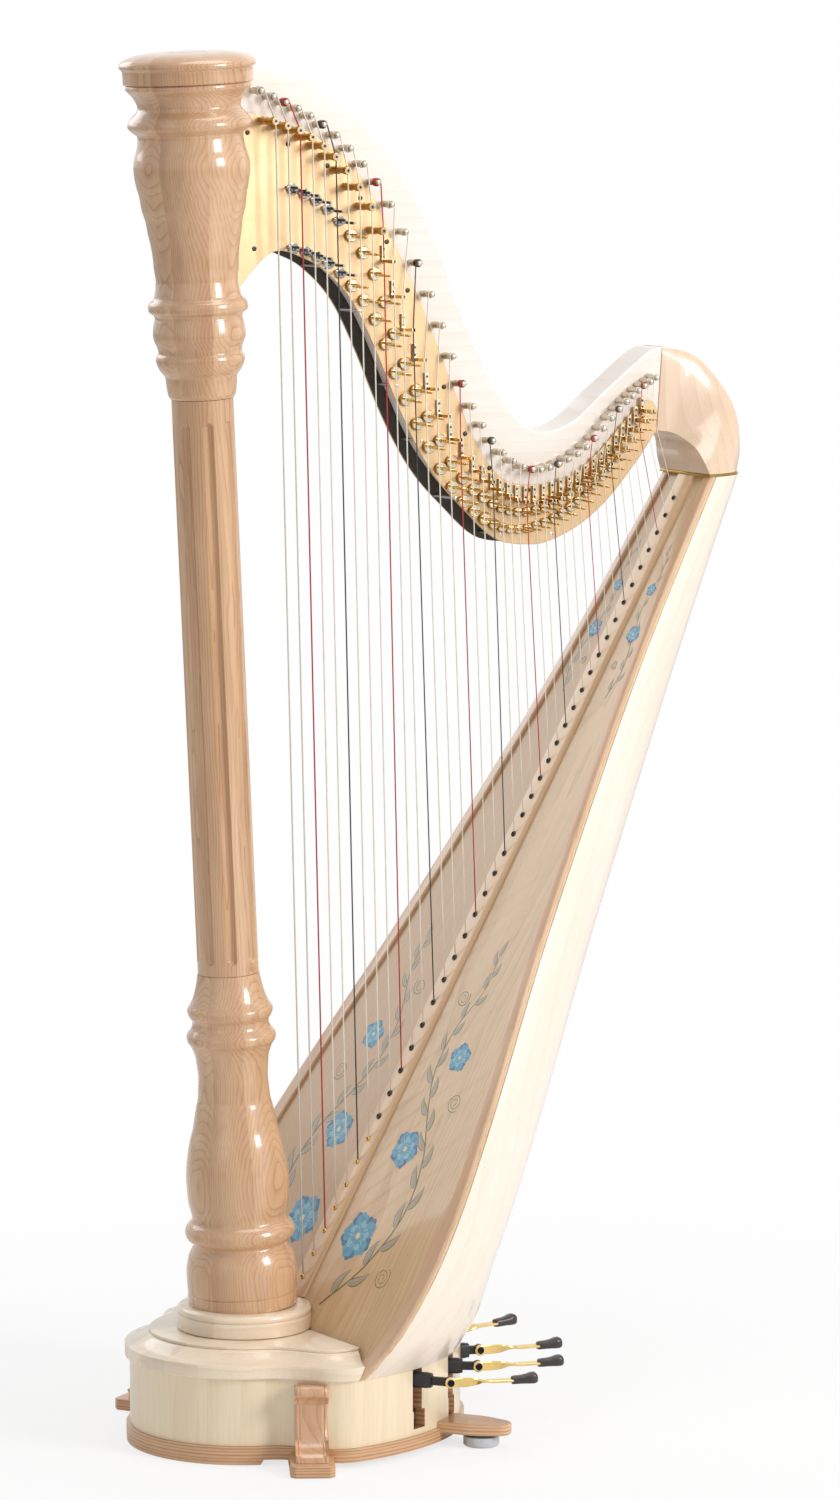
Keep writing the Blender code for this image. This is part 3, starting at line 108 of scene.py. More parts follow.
PIN_RADIUS = 3.3 * MM
PIN_OUT = 24 * MM
HEAD_SIZE = 6 * MM
HEAD_OUT = 14 * MM
LAST_ON_RIGHT = 12
BRIDGE_PINS = 10
BRIDGE_RADIUS = 4 * MM
BRIDGE_OUT = 33 * MM
NUT_HIGH = 4 * MM
NUT_OUT = 26 * MM
NUT_WALL = 1.8 * MM
STRING_CLEAR = 0.35 * MM
FIRST_DISC = 3
FIRST_MOVING = 17
NOTES = "cdefgab"
NATURAL_SHARE = 1 - 2 ** (-1 / 12)
SHARP_SHARE = 1 - 2 ** (-2 / 12)
DISC_RADIUS = 8 * MM
DISC_THICK = 4 * MM
DISC_OFF = 0.5 * MM
PRONG_RADIUS = 1.5 * MM
PRONG_PAST = 4 * MM
PRONG_TURN = math.radians(72)
TREBLE_SPREAD = 1.5 * MM
LEVER_Z = 91 * MM
FULCRUM_CIRCLE = 52 * MM
LEVER_START = 18 * MM
LEVER_THICK = 5 * MM
LEVER_HIGH = 10 * MM
EYE_RADIUS = 7.5 * MM
SLEEVE_THICK = 12 * MM
SLEEVE_HIGH = 19 * MM
SLEEVE_IN = 12 * MM
SLEEVE_SHARE = 0.45
SLOT_CLEAR = 2.5 * MM
SLOT_TIGHT = 0.8 * MM
PEDAL_TRAVEL = 44.5 * MM
SLOT_BELOW = 7 * MM
SLOT_LOW = LEVER_Z - SLEEVE_HIGH / 2 - PEDAL_TRAVEL - SLOT_BELOW
SLOT_STEP = SLOT_LOW + 22 * MM
SLOT_SHIFT = 6 * MM
KNUCKLE_HALF = 3 * MM
ARM_LENGTH = 108 * MM
CAP_START = 75 * MM
ARM_WIDE = 12 * MM
ARM_THICK = 3 * MM
FOLD_RADIUS = 6.8 * MM
BOLT_RADIUS = 2.8 * MM
BOLT_HEAD = 1.5 * MM
PEDALS = (  # name, place round the rear wall and direction of the arm in degrees, reach in mm
    ("d", -67, -21, 42), ("c", -46.5, -18, 33), ("b", -25, -13, 24), ("e", 3, 2, 22),
    ("f", 25, 13, 24), ("g", 46.5, 18, 33), ("a", 67, 21, 42),
)

# Sizes of the scene alone
STEPS_OF_TURNING = 112
TOE_ROOT = 30 * MM
TOE_CUT = 6 * MM
FOOT_SLANT = 0.6
BRACKET_LOW = 14.3 * MM
PAD_RING_RADIUS = PAD_RADIUS - 2 * MM
PAD_RING_HIGH = 3.3 * MM
FLUTE_REACH = 38.5 * MM
FLUTE_HALF_ANGLE = math.asin(6.2 / 37) * 1.06
FLUTE_LOW = 592 * MM
FLUTE_HIGH = 1248 * MM
SHAFT_LOW = 578.4 * MM
SHAFT_HIGH = 1274.4 * MM
TURNING_LOW = 168.1 * MM
HOLE_WIDTH_SHARE = 0.3
HOLE_HALF_HEIGHT = 55 * MM
RIB_START = -75 * MM
RIB_LOW = BASE_HIGH + 29.8 * MM
TRIM_START = 128 * MM
BOARD_END = (BODY_HIGH - GROMMET_Z) / math.sin(BOARD_SLOPE) + 20 * MM
PAINT_LOW = -RIB_THICK + 0.05 * MM
PAINT_LAYER = 0.06 * MM
WINDS = 3.4
NUMBERS = range(1, STRING_COUNT + 1)
LAST_CHROME = 7
LAST_LONG_NUT = 29
NUT_BACK_WIDTH = 5.4 * MM
NUT_BACK_THICK = 3.6 * MM
NUT_SCREW_SHARES = (0.35, 0.78)
POST_RADIUS = 2 * MM
TO_STRINGS = Vector((0, -1, 0))
BAND_PAST_BACK = 1.5 * MM
BAND_PAST_FRONT = 0.8 * MM
BOLT_HEAD_RADIUS = 4.3 * MM
CAP_HALF_WIDTH = 8 * MM
CAP_HALF_HEIGHT = 7 * MM

# Small turned parts: (height, inset) of the pad in mm, then (distance along in mm, share of the
# radius), the pin's tip measured back from its end, then (distance along, radius) in mm
PAD_LINE = ((0, 3), (0.6, 1.4), (2, 0), (11.6, 0), (12.4, 0.6))
EYELET_LINE = ((-1, 1), (0.7, 1), (1.5, 0.86), (1.9, 0.6), (1.5, 0.42), (0.2, 0.34))
PIN_ROOT = ((0, 1.3), (9, 1.3), (10.5, 1.1), (12, 1))
PIN_TIP = ((4.2, 0.98), (3.4, 0.8), (2.4, 1.02), (0.9, 1), (0, 0.6))
SCREW_HEAD = ((0, 3), (1.2, 3), (2, 2.4), (2.2, 1), (1.4, 0.9), (1.4, 0))
RIVET_HEAD = ((0, 2.4), (0.9, 2.4), (1.2, 2), (1.2, 0.8), (0.7, 0.7), (0.7, 0))

# Turned column from the top down: (height above the floor, radius) in mm
CAP_LINE = (
    (1686, 0), (1685.9, 30), (1684.6, 52), (1682, 66), (1678, 76), (1674.8, 80), (1672, 81.4),
    (1669, 81.2), (1666.4, 79), (1664, 77.8), (1650.4, 77.5), (1649.6, 76.8),
)
CAPITAL_LINE = (
    (1648.6, 74), (1647, 74.8), (1643, 74.5), (1636, 68), (1629, 63.5), (1622, 61.5), (1618, 62.5),
    (1615, 65), (1608, 71.6), (1601, 74.4), (1596, 72.4), (1591, 66.5), (1587, 63), (1572, 65),
    (1558, 69), (1544, 69.3), (1530, 67.3), (1516, 64), (1501, 62), (1487, 58), (1473, 56),
    (1459, 53.3), (1445, 51.5), (1430, 50.6), (1419, 49.2), (1412, 49.4), (1402, 51), (1395, 53),
    (1391, 57.5), (1387, 59.4), (1380, 59), (1376, 54), (1372, 52.3), (1366, 53.8), (1352, 55.3),
    (1345, 54.2), (1337, 50.8), (1330, 49.8), (1327, 52), (1322, 53.1), (1316, 51.9), (1309, 48.5),
    (1302, 43.3), (1294, 42.3), (1280, 40.5), (1275, 37.6),
)
FOOT_LINE = (
    (578, 37.6), (564, 40), (549, 44), (541, 47.8), (534, 51.8), (527, 50.8), (521, 47), (518, 46.4),
    (512, 47.6), (507, 51.2), (502, 54), (495, 53.4), (490, 50), (482, 46.5), (475, 44.5),
    (467, 43.7), (452, 42.3), (438, 43), (423, 44.2), (415, 46.2), (400, 49.3), (386, 52),
    (371, 56.3), (356, 59.4), (341, 61.7), (326, 62.8), (311, 62.3), (296, 61.4), (284, 58.8),
    (278, 57.8), (273, 58.8), (269, 63), (264, 66), (258, 66.9), (251, 64.4), (246, 58),
    (243, 57), (238, 60), (229, 64.2), (214, 67.3), (199, 67.3), (187, 66.9), (184.6, 66.2),
    (184, 66.9), (171, 66.5), (168.3, 66),
)
PLINTH_LINE = (
    (168, 60), (167.8, 72), (166.8, 77.5), (164.6, 80.8), (161.8, 82), (159.2, 81.6), (157.8, 80.2),
    (156.8, 80.6), (155.8, 82), (141.5, 82.2), (139.6, 81.4), (138.9, 79.6),
)

# Smooth lines in the plane of the strings, as (string number, x, z) in mm
NUT_LINE = (
    (1, 50, 1602), (4, 102, 1582), (7, 152, 1541), (10, 203, 1467), (13, 246, 1345),
    (17, 315, 1208), (20, 363, 1154), (24, 413, 1127), (28, 466, 1129), (32, 516, 1151),
    (36, 562, 1187), (40, 602, 1231),
)
TUNING_LINE = (
    (1, 34, 1638), (5, 104, 1607), (8, 160, 1567), (11, 219, 1498), (14, 277, 1387),
    (17, 323, 1276), (20, 367, 1204), (23, 413, 1170), (26, 452, 1167), (30, 507, 1190),
    (34, 557, 1235), (37, 586, 1257), (40, 613, 1272),
)
PLATE_UPPER = (
    (-40, 1612), (23, 1612), (122, 1582), (190, 1528), (236, 1446), (273, 1375), (319, 1273),
    (350, 1208), (381, 1165), (410, 1148), (453, 1145), (496, 1153), (539, 1183), (583, 1224),
    (612, 1242), (625, 1232), (625, 1204),
)
PLATE_LOWER = (
    (598, 1170), (554, 1124), (511, 1093), (467, 1075), (433, 1071), (382, 1081), (331, 1124),
    (297, 1158), (269, 1197), (241, 1248), (205, 1325), (174, 1380), (141, 1414), (108, 1434),
    (60, 1444), (12, 1402), (-20, 1360), (-40, 1340),
)
NECK_UPPER = (
    (-50, 1662), (34, 1665), (84, 1657), (124, 1642), (165, 1616), (220, 1564), (261, 1510),
    (298, 1446), (325, 1378), (349, 1330), (378, 1275), (412, 1231), (449, 1210), (498, 1220),
    (550, 1258), (614, 1303), (636, 1309),
)
NECK_LOWER = (
    (628, 1204), (598, 1192), (554, 1146), (511, 1115), (467, 1098), (433, 1094), (388, 1103),
    (345, 1134), (310, 1170), (282, 1208), (255, 1259), (220, 1334), (188, 1388), (152, 1424),
    (114, 1450), (60, 1464), (10, 1428), (-20, 1392), (-50, 1372),
)
PLATE_SCREWS = (  # dark screws near the plate's edges, x and z in mm
    (25, 1588), (82, 1573), (138, 1546), (185, 1506), (223, 1452), (253, 1392), (34, 1449),
    (306, 1272), (337, 1213), (373, 1169), (431, 1139), (494, 1143), (552, 1181),
)
SPACERS = (  # posts between the two plates, x and z in mm
    (132, 1425), (185, 1369), (238, 1276), (274, 1207), (324, 1134), (390, 1086), (466, 1082),
)
BOARD_EDGE = (
    (-130, 180), (-98, 202), (-47, 232), (33, 246), (132, 239), (273, 208), (456, 160),
    (633, 122), (859, 81), (1116, 53), (1150, 49),
)
BODY_DEPTH = (
    (104.9, 243), (150, 232), (230, 203), (418, 175), (610, 150), (808, 123), (1150, 70),
)
SHOULDER_SECTIONS = (
    (628.3, 1204, 636.3, 1309, 26.8, 72.2, 0.12),
    (646, 1201, 686, 1297, 20, 73, 0.3),
    (655, 1193, 719, 1265, 4, 71, 0.5),
    (655, 1182, 735, 1226, -22, 67, 0.7),
    (652, 1168, 732, 1183, -42, 60, 0.85),
    (652.5, 1153, 722, 1153, -54, 54, 1.0),
)
BRACKET_LINE = (  # distance out from the wall and height, in mm
    (-4, 99), (10, 101), (17, 100), (20.5, 95), (19.5, 89), (14, 84), (11.5, 76), (11, 62),
    (14, 47), (21, 35), (31, 27), (40, 25), (46, 21), (47, 14.3),
)
BRACKET_EDGE = (  # moulded edge: distance in from the side and inset, in mm
    (0, 4), (0.4, 2.2), (1.6, 0.8), (3.4, 0.1), (4.4, 0.9), (5.6, 0.9), (7, 0),
)
BRACKET_MIDDLE = (6, 55)
BRACKET_FLAT = 16 * MM
TOP_LEVELS = (  # moulded top of the base: height and inset, in mm
    (104.9, 1.6), (105.5, 0.6), (106.6, 0), (120.9, 0), (121.5, 0.2), (121.8, 0.8), (122.4, 4),
    (123.8, 8.6), (126, 13.6), (128.8, 18.6), (131.6, 23), (133.8, 26.6), (134.7, 28.4),
    (134.8, 31.2), (135.3, 31.4), (135.4, 30), (137.9, 30), (138.5, 30.4), (138.6, 31.2),
)


# Mesh tools

def finish_mesh(maker, smooth=38):
    mesh = bpy.data.meshes.new("piece")
    maker.normal_update()
    maker.to_mesh(mesh)
    maker.free()
    if smooth:
        mesh.shade_smooth()
        mesh.set_sharp_from_angle(angle=math.radians(smooth))
    return mesh


def piece(name, maker, material, node=None, body=BODY, smooth=38, bevel=0, segments=2):
    """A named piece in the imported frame, made from a bmesh in the design frame.

    It takes the place of a node of the CAD, or is an extra in the slot of one.
    """
    mesh = finish_mesh(maker, smooth)
    mesh.transform(Matrix.Translation(SHIFT))
    mesh.name = name
    for entry in material if isinstance(material, (list, tuple)) else [material]:
        mesh.materials.append(entry)
    made = bpy.data.objects.new(name, mesh)
    bpy.context.scene.collection.objects.link(made)
    if bevel:
        rounding = made.modifiers.new("edges", "BEVEL")
        rounding.width = bevel
        rounding.segments = segments
        rounding.limit_method = "ANGLE"
        rounding.angle_limit = math.radians(35)
        rounding.harden_normals = True
    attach(made, body)
    if node:
        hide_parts(node)


def join(target, other, matrix=None, index=None):
    """Add the faces of one bmesh to another, and free it."""
    if matrix is not None:
        moved(other, matrix)
    if index is not None:
        for face in other.faces:
            face.material_index = index
    mesh = bpy.data.meshes.new("part")
    other.to_mesh(mesh)
    other.free()
    target.from_mesh(mesh)
    bpy.data.meshes.remove(mesh)
    return target


def boolean(maker, tool, operation="DIFFERENCE"):
    """Cut or join two bmeshes and give the result as a bmesh."""
    objects = []
    for source in (maker, tool):
        mesh = bpy.data.meshes.new("work")
        source.to_mesh(mesh)
        source.free()
        for _ in range(2):
            mesh.materials.append(None)
        work = bpy.data.objects.new("work", mesh)
        bpy.context.scene.collection.objects.link(work)
        objects.append(work)
    modifier = objects[0].modifiers.new("work", "BOOLEAN")
    modifier.operation = operation
    modifier.solver = "EXACT"
    modifier.object = objects[1]
    graph = bpy.context.evaluated_depsgraph_get()
    graph.update()
    mesh = bpy.data.meshes.new_from_object(objects[0].evaluated_get(graph))
    result = bmesh.new()
    result.from_mesh(mesh)
    for work in objects:
        bpy.data.objects.remove(work)
    bpy.data.meshes.remove(mesh)
    return result


def loft(rings, caps=True):
    """Skin over closed rings of equal count."""
    maker = bmesh.new()
    rows = [[maker.verts.new(point) for point in ring] for ring in rings]
    count = len(rows[0])
    for low, high in zip(rows, rows[1:]):
        for k in range(count):
            after = (k + 1) % count
            maker.faces.new((low[k], low[after], high[after], high[k]))
    if caps:
        maker.faces.new(rows[0][::-1])
        maker.faces.new(rows[-1])
    bmesh.ops.recalc_face_normals(maker, faces=maker.faces)
    return maker


def circle(sides):
    """(cosine, sine) of equal steps round a full turn."""
    angles = [2 * math.pi * k / sides for k in range(sides)]
    return [(math.cos(angle), math.sin(angle)) for angle in angles]


def rounded_box(sides, power):
    """Points on a section between an ellipse and a box, within 1 of its middle."""
    return [(math.copysign(abs(c) ** power, c), math.copysign(abs(s) ** power, s))
            for c, s in circle(sides)]


def moved(maker, matrix):
    bmesh.ops.transform(maker, matrix=matrix, verts=maker.verts)
    return maker


def turned(profile, steps=48, start=(0, 0, 0), end=None):
    """Turn (distance along, radius) points about the line from start to end."""
    start = Vector(start)
    end = start + Vector((0, 0, 1)) if end is None else Vector(end)
    turn = (end - start).to_track_quat("Z", "Y").to_matrix().to_4x4()
    rings = []
    for run, radius in profile:
        radius = max(radius, 0.01 * MM)
        rings.append([(radius * c, radius * s, run) for c, s in circle(steps)])
    return moved(loft(rings), Matrix.Translation(start) @ turn)


def in_mm(line):
    return [tuple(value * MM for value in point) for point in line]


def rod(radius, start, end, steps=16, edge=0.0):
    """Round bar between two points with its end edges rounded by edge."""
    length = (Vector(end) - Vector(start)).length
    line = [(0, radius - edge), (edge, radius), (length - edge, radius), (length, radius - edge)]
    return turned(line if edge else [(0, radius), (length, radius)], steps, start, end)


def block(centre, size, turn=0.0):
    maker = bmesh.new()
    bmesh.ops.create_cube(
        maker, size=1, matrix=Matrix.Translation(centre) @ Matrix.Rotation(turn, 4, "Z")
        @ Matrix.Diagonal((*size, 1)))
    return maker


def prism(outline, low, high):
    """Solid over an outline of (x, y) points."""
    return loft([[(x, y, low) for x, y in outline], [(x, y, high) for x, y in outline]])


def upright(outline, near, far):
    """Solid between two Y values over an outline of (x, z) points."""
    return loft([[(x, near, z) for x, z in outline], [(x, far, z) for x, z in outline]])


def sweep(points, radius, sides):
    """Round tube along points."""
    points = [Vector(p) for p in points]
    rings = []
    side = None
    for k, point in enumerate(points):
        way = (points[min(k + 1, len(points) - 1)] - points[max(k - 1, 0)]).normalized()
        if side is None:
            side = way.orthogonal()
        side = (side - way * side.dot(way)).normalized()
        other = way.cross(side)
        rings.append([point + (side * c + other * s) * radius for c, s in circle(sides)])
    return loft(rings)


def slice_off(maker, point, normal):
    geometry = maker.verts[:] + maker.edges[:] + maker.faces[:]
    bmesh.ops.bisect_plane(
        maker, geom=geometry, dist=1e-7, plane_co=point, plane_no=normal, clear_outer=True)
    bmesh.ops.holes_fill(maker, edges=[e for e in maker.edges if e.is_boundary], sides=0)
    bmesh.ops.recalc_face_normals(maker, faces=maker.faces)
    return maker


def mirrored(maker):
    """The same shape on the other side of the strings' plane."""
    other = moved(maker.copy(), Matrix.Scale(-1, 4, (0, 1, 0)))
    bmesh.ops.reverse_faces(other, faces=other.faces)
    return other


# Lines and laws of the design

def curve_value(rows, key):
    k = 0
    while k < len(rows) - 2 and key > rows[k + 1][0]:
        k += 1
    before = rows[max(k - 1, 0)]
    low = rows[k]
    high = rows[k + 1]
    after = rows[min(k + 2, len(rows) - 1)]
    span = high[0] - low[0]
    t = (key - low[0]) / span
    values = []
    for column in range(1, len(low)):
        slope_low = (high[column] - before[column]) / (high[0] - before[0]) * span
        slope_high = (after[column] - low[column]) / (after[0] - low[0]) * span
        values.append(MM * (
            (2 * t ** 3 - 3 * t ** 2 + 1) * low[column] + (t ** 3 - 2 * t ** 2 + t) * slope_low
            + (3 * t ** 2 - 2 * t ** 3) * high[column] + (t ** 3 - t ** 2) * slope_high))
    return values


def smooth_line(points, steps=6):
    rows = [(k, *point) for k, point in enumerate(points)]
    count = (len(points) - 1) * steps
    return [tuple(curve_value(rows, k / steps)) for k in range(count + 1)]


def string_station(number):
    distance = 0.0
    for k in range(1, number):
        taper = min(max(k - WIDE_GAPS, 0), TAPER_GAPS + 1) / (TAPER_GAPS + 1)
        distance += WIDE_GAP + (NARROW_GAP - WIDE_GAP) * taper
    return distance


def board_point(along, out=0.0, across=0.0):
    c = math.cos(BOARD_SLOPE)
    s = math.sin(BOARD_SLOPE)
    return Vector((GROMMET_X + along * c - out * s, across, GROMMET_Z + along * s + out * c))


def board_x(z, out=0.0):
    return GROMMET_X + (z - GROMMET_Z) / math.tan(BOARD_SLOPE) - out / math.sin(BOARD_SLOPE)


def board_half(along):
    return curve_value(BOARD_EDGE, along / MM)[0]


def string_radius(number):
    share = (number - 1) / (STRING_COUNT - 1)
    return BASS_RADIUS + (TREBLE_RADIUS - BASS_RADIUS) * share


def nut_point(number):
    x, z = curve_value(NUT_LINE, number)
    return Vector((x, 0, z))


def tuning_point(number):
    x, z = curve_value(TUNING_LINE, number)
    return Vector((x, NECK_NEAR, z))


def string_end(number):
    pin = tuning_point(number)
    end = Vector((pin.x, NECK_NEAR - PIN_OUT + 4 * MM, pin.z))
    away = (end - nut_point(number)).normalized()
    side = Vector((away.z, 0, -away.x))
    if number > LAST_ON_RIGHT:
        side = -side
    return end + side * (PIN_RADIUS + string_radius(number) + SEAT)


def disc_points(number):
    top = nut_point(number)
    foot = board_point(string_station(number))
    length = (top - foot).length
    down = (foot - top) / length
    first = min(number, STRING_COUNT - 1)
    spacing = (nut_point(first + 1) - nut_point(first)).length
    apart = (SHARP_SHARE - NATURAL_SHARE) * length
    radius = min(DISC_RADIUS, (apart + 2 * TREBLE_SPREAD) / 2 - 0.7 * MM, spacing / 2 - 0.5 * MM)
    lift = radius * 0.6
    spread = TREBLE_SPREAD if radius < DISC_RADIUS else 0.0
    natural = top + down * (NATURAL_SHARE * length - lift) - down * spread
    sharp = top + down * (SHARP_SHARE * length - lift) + down * spread
    return natural, sharp, radius, down


def base_outline(inset, rear=None):
    radius = LOBE_RADIUS - inset
    corner_y = CORNER_Y - inset
    arc_steps = 40
    points = []
    for k in range(arc_steps + 1):
        angle = math.pi + (math.pi - LOBE_END) * k / arc_steps
        points.append((radius * math.cos(angle), radius * math.sin(angle)))
    start = Vector(points.pop())
    tangent = Vector((math.sin(LOBE_END), math.cos(LOBE_END)))
    corner = Vector((CORNER_X, -corner_y))
    reach = (corner - start).length * 0.42
    cove = interpolate_bezier(
        start, start + tangent * reach, corner - Vector((reach, -0.1 * reach)), corner, 24)
    points += [(p.x, p.y) for p in cove]
    if rear is None:
        length = REAR_LENGTH - inset
        rear_steps = 56
        for k in range(1, rear_steps + 1):
            angle = math.pi / 2 * k / rear_steps
            points.append((CORNER_X + length * math.sin(angle), -corner_y * math.cos(angle)))
    else:
        points += [(rear, -corner_y), (rear, 0)]
    return points + [(x, -y) for x, y in points[-2:0:-1]]


def wall_point(pedal):
    """Where a row of PEDALS meets the outside of the wall."""
    angle = math.radians(pedal[1])
    length = REAR_LENGTH - WALL_INSET
    width = CORNER_Y - WALL_INSET
    return Vector((CORNER_X + length * math.cos(angle), width * math.sin(angle), LEVER_Z))


def lever_way(pedal):
    place = wall_point(pedal)
    return Vector((place.x, place.y, 0)).normalized()


def outer_side(pedal):
    return 1 if pedal[1] < 0 else -1


def fold_point(pedal):
    return wall_point(pedal) + lever_way(pedal) * pedal[3] * MM


COLUMN = Matrix.Translation((0, 0, BASE_HIGH)) @ Matrix.Rotation(-LEAN, 4, "Y")
BOARD_NORMAL = Vector((math.sin(BOARD_SLOPE), 0, -math.cos(BOARD_SLOPE)))
BRACKET = Matrix.Translation(BRACKET_SPOT) @ Matrix.Rotation(BRACKET_TURN, 4, "Z")


# Materials

def srgb(colour, share=1.0):
    """Linear colour from one written in 0 to 255, darkened to a share of its light."""
    values = [c / 255 for c in colour]
    return tuple(
        share * (c / 12.92 if c <= 0.04045 else ((c + 0.055) / 1.055) ** 2.4) for c in values) + (1,)


class Nodes:
    """Short way to wire a material's nodes."""

    def __init__(self, name, roughness=0.5, metallic=0.0, coat=0.0):
        self.material = bpy.data.materials.new(name)
        self.material.use_nodes = True
        self.tree = self.material.node_tree
        self.shader = self.tree.nodes["Principled BSDF"]
        self.shader.inputs["Roughness"].default_value = roughness
        self.shader.inputs["Metallic"].default_value = metallic
        self.shader.inputs["Coat Weight"].default_value = coat
        self.shader.inputs["Coat Roughness"].default_value = 0.06

    def add(self, kind, inputs=None, **settings):
        made = self.tree.nodes.new("ShaderNode" + kind)
        for key, value in settings.items():
            setattr(made, key, value)
        for key, value in (inputs or {}).items():
            if isinstance(value, bpy.types.NodeSocket):
                self.tree.links.new(value, made.inputs[key])
            else:
                made.inputs[key].default_value = value
        return made

    def math(self, operation, first, second=0.0, clamp=False):
        made = self.add("Math", {0: first, 1: second}, operation=operation, use_clamp=clamp)
        return made.outputs[0]

    def distance(self, first, second):
        squares = [self.math("POWER", side, 2.0) for side in (first, second)]
        return self.math("SQRT", self.math("ADD", *squares))

    def total(self, *terms):
        """Sum of sockets, each times its share, kept within 0 and 1."""
        value = 0.0
        for socket, share in terms:
            value = self.math("ADD", value, self.math("MULTIPLY", socket, share), clamp=True)
        return value

    def mix(self, factor, first, second):
        made = self.add("Mix", {0: factor, 6: first, 7: second}, data_type="RGBA")
        return made.outputs[2]

    def noise(self, vector, scale, detail=3.0, rough=0.55):
        made = self.add("TexNoise", {
            "Vector": vector, "Scale": scale, "Detail": detail, "Roughness": rough})
        return made.outputs["Fac"]

    def fibre(self, vector):
        return self.noise(self.stretch(vector, (14, 420, 420)), 1.0, 4.0, 0.65)

    def ramp(self, value, low, high):
        return self.add("MapRange", {0: value, 1: low, 2: high}).outputs[0]

    def parts(self, vector):
        return self.add("SeparateXYZ", {0: vector}).outputs

    def random(self, number):
        return self.add("TexWhiteNoise", {"W": number}, noise_dimensions="1D").outputs

    def place(self, matrix=None):
        """Object coordinates, turned so that X runs along the grain."""
        source = self.add("TexCoord").outputs["Object"]
        if matrix is None:
            return source
        turn = matrix.to_euler()
        return self.add("Mapping", {"Vector": source, "Rotation": turn}).outputs[0]

    def stretch(self, vector, scale):
        return self.add("Mapping", {"Vector": vector, "Scale": scale}).outputs[0]

    def colour(self, socket):
        self.tree.links.new(socket, self.shader.inputs["Base Color"])

    def bump(self, height, strength, distance=0.0002):
        made = self.add("Bump", {"Height": height, "Strength": strength, "Distance": distance})
        self.tree.links.new(made.outputs[0], self.shader.inputs["Normal"])


def wood(name, light, dark, grain=None, rings=90.0, ring_mix=0.3, stave_width=0.0, stave_tone=0.0,
         fleck=0.25, roughness=0.3, coat=0.6, far_tone=0.0, seed=0.0):
    """Lacquered wood: growth rings, fine fibre and, where wanted, glued staves of unlike tone.

    The far tone darkens the half behind the strings' plane.
    """
    n = Nodes(name, roughness, coat=coat)
    vector = n.place(grain)
    tone = None
    if stave_width:
        cell = n.math("FLOOR", n.math("DIVIDE", n.parts(vector)["Y"], stave_width))
        tone = n.random(n.math("ADD", cell, seed))
        shift = n.add("VectorMath", {0: tone["Color"], 1: (0.7, 0.16, 0.16)}, operation="MULTIPLY")
        vector = n.add("VectorMath", {0: vector, 1: shift.outputs[0]}, operation="ADD").outputs[0]
    warp = n.noise(n.stretch(vector, (1.6, 7, 7)), 1.0, 2.0)
    parts = n.parts(vector)
    side = n.math("ADD", parts["Y"], 0.035 + seed * 0.01)
    deep = n.math("ADD", parts["Z"], 0.05)
    length = n.math("ADD", n.distance(side, deep), n.math("MULTIPLY", warp, 0.06))
    ring = n.math("POWER", n.math("FRACT", n.math("MULTIPLY", length, rings)), 3.0)
    fibre = n.fibre(vector)
    broad = n.noise(n.stretch(vector, (1.2, 22, 22)), 1.0, 2.0)
    value = n.total((ring, ring_mix), (n.ramp(fibre, 0.38, 0.72), fleck), (n.ramp(broad, 0.3, 0.75), 0.35))
    colour = n.mix(value, srgb(light), srgb(dark))
    if stave_width:
        darker = srgb(light, 1 - 2.2 * stave_tone)
        colour = n.mix(tone["Value"], colour, n.mix(0.5, colour, darker))
    if far_tone:
        share = n.math("MULTIPLY", n.math("GREATER_THAN", n.parts(n.place())["Y"], 0.0), far_tone)
        colour = n.mix(share, colour, srgb(dark))
    n.colour(colour)
    n.bump(fibre, 0.06)
    return n.material


def turned_wood(name, light, dark, staves, phase, rings, seed):
    """Wood of the column, glued from staves whose growth rings the turning has cut open."""
    n = Nodes(name, 0.26, coat=0.7)
    turn = ALONG_COLUMN.to_3x3()
    foot = SHIFT + Vector((0, 0, BASE_HIGH))
    vector = n.add("Mapping", {"Vector": n.place(), "Rotation": turn.to_euler(),
                               "Location": -(turn @ foot)}).outputs[0]
    parts = n.parts(vector)
    stave = 2 * math.pi / staves
    angle = n.math("ADD", n.math("ARCTAN2", parts["Z"], parts["Y"]), math.radians(phase))
    cell = n.math("FLOOR", n.math("DIVIDE", angle, stave))
    tone = n.random(n.math("ADD", cell, seed))
    middle = n.math("ADD", n.math("MULTIPLY", cell, stave), stave / 2 - math.radians(phase))
    tilt = n.math("MULTIPLY", n.math("SUBTRACT", tone["Value"], 0.45), 1.7)
    middle = n.math("ADD", middle, tilt)
    deep = n.math("ADD", n.math("MULTIPLY", parts["Y"], n.math("COSINE", middle)),
                  n.math("MULTIPLY", parts["Z"], n.math("SINE", middle)))
    place = n.add("VectorMath", {0: vector, 1: tone["Color"]}, operation="ADD").outputs[0]
    warp = n.noise(n.stretch(place, (5, 18, 18)), 1.0, 2.0)
    depth = n.math("ADD", n.math("MULTIPLY", deep, rings), n.math("MULTIPLY", warp, 5.0))
    ring = n.math("POWER", n.math("FRACT", depth), 5.0)
    fibre = n.fibre(place)
    broad = n.noise(n.stretch(place, (3, 26, 26)), 1.0, 2.0)
    value = n.total((ring, 0.4), (n.ramp(fibre, 0.38, 0.72), 0.2), (n.ramp(broad, 0.3, 0.75), 0.38),
                    (tone["Value"], 0.34))
    n.colour(n.mix(value, srgb(light), srgb(dark)))
    n.bump(fibre, 0.05)
    return n.material


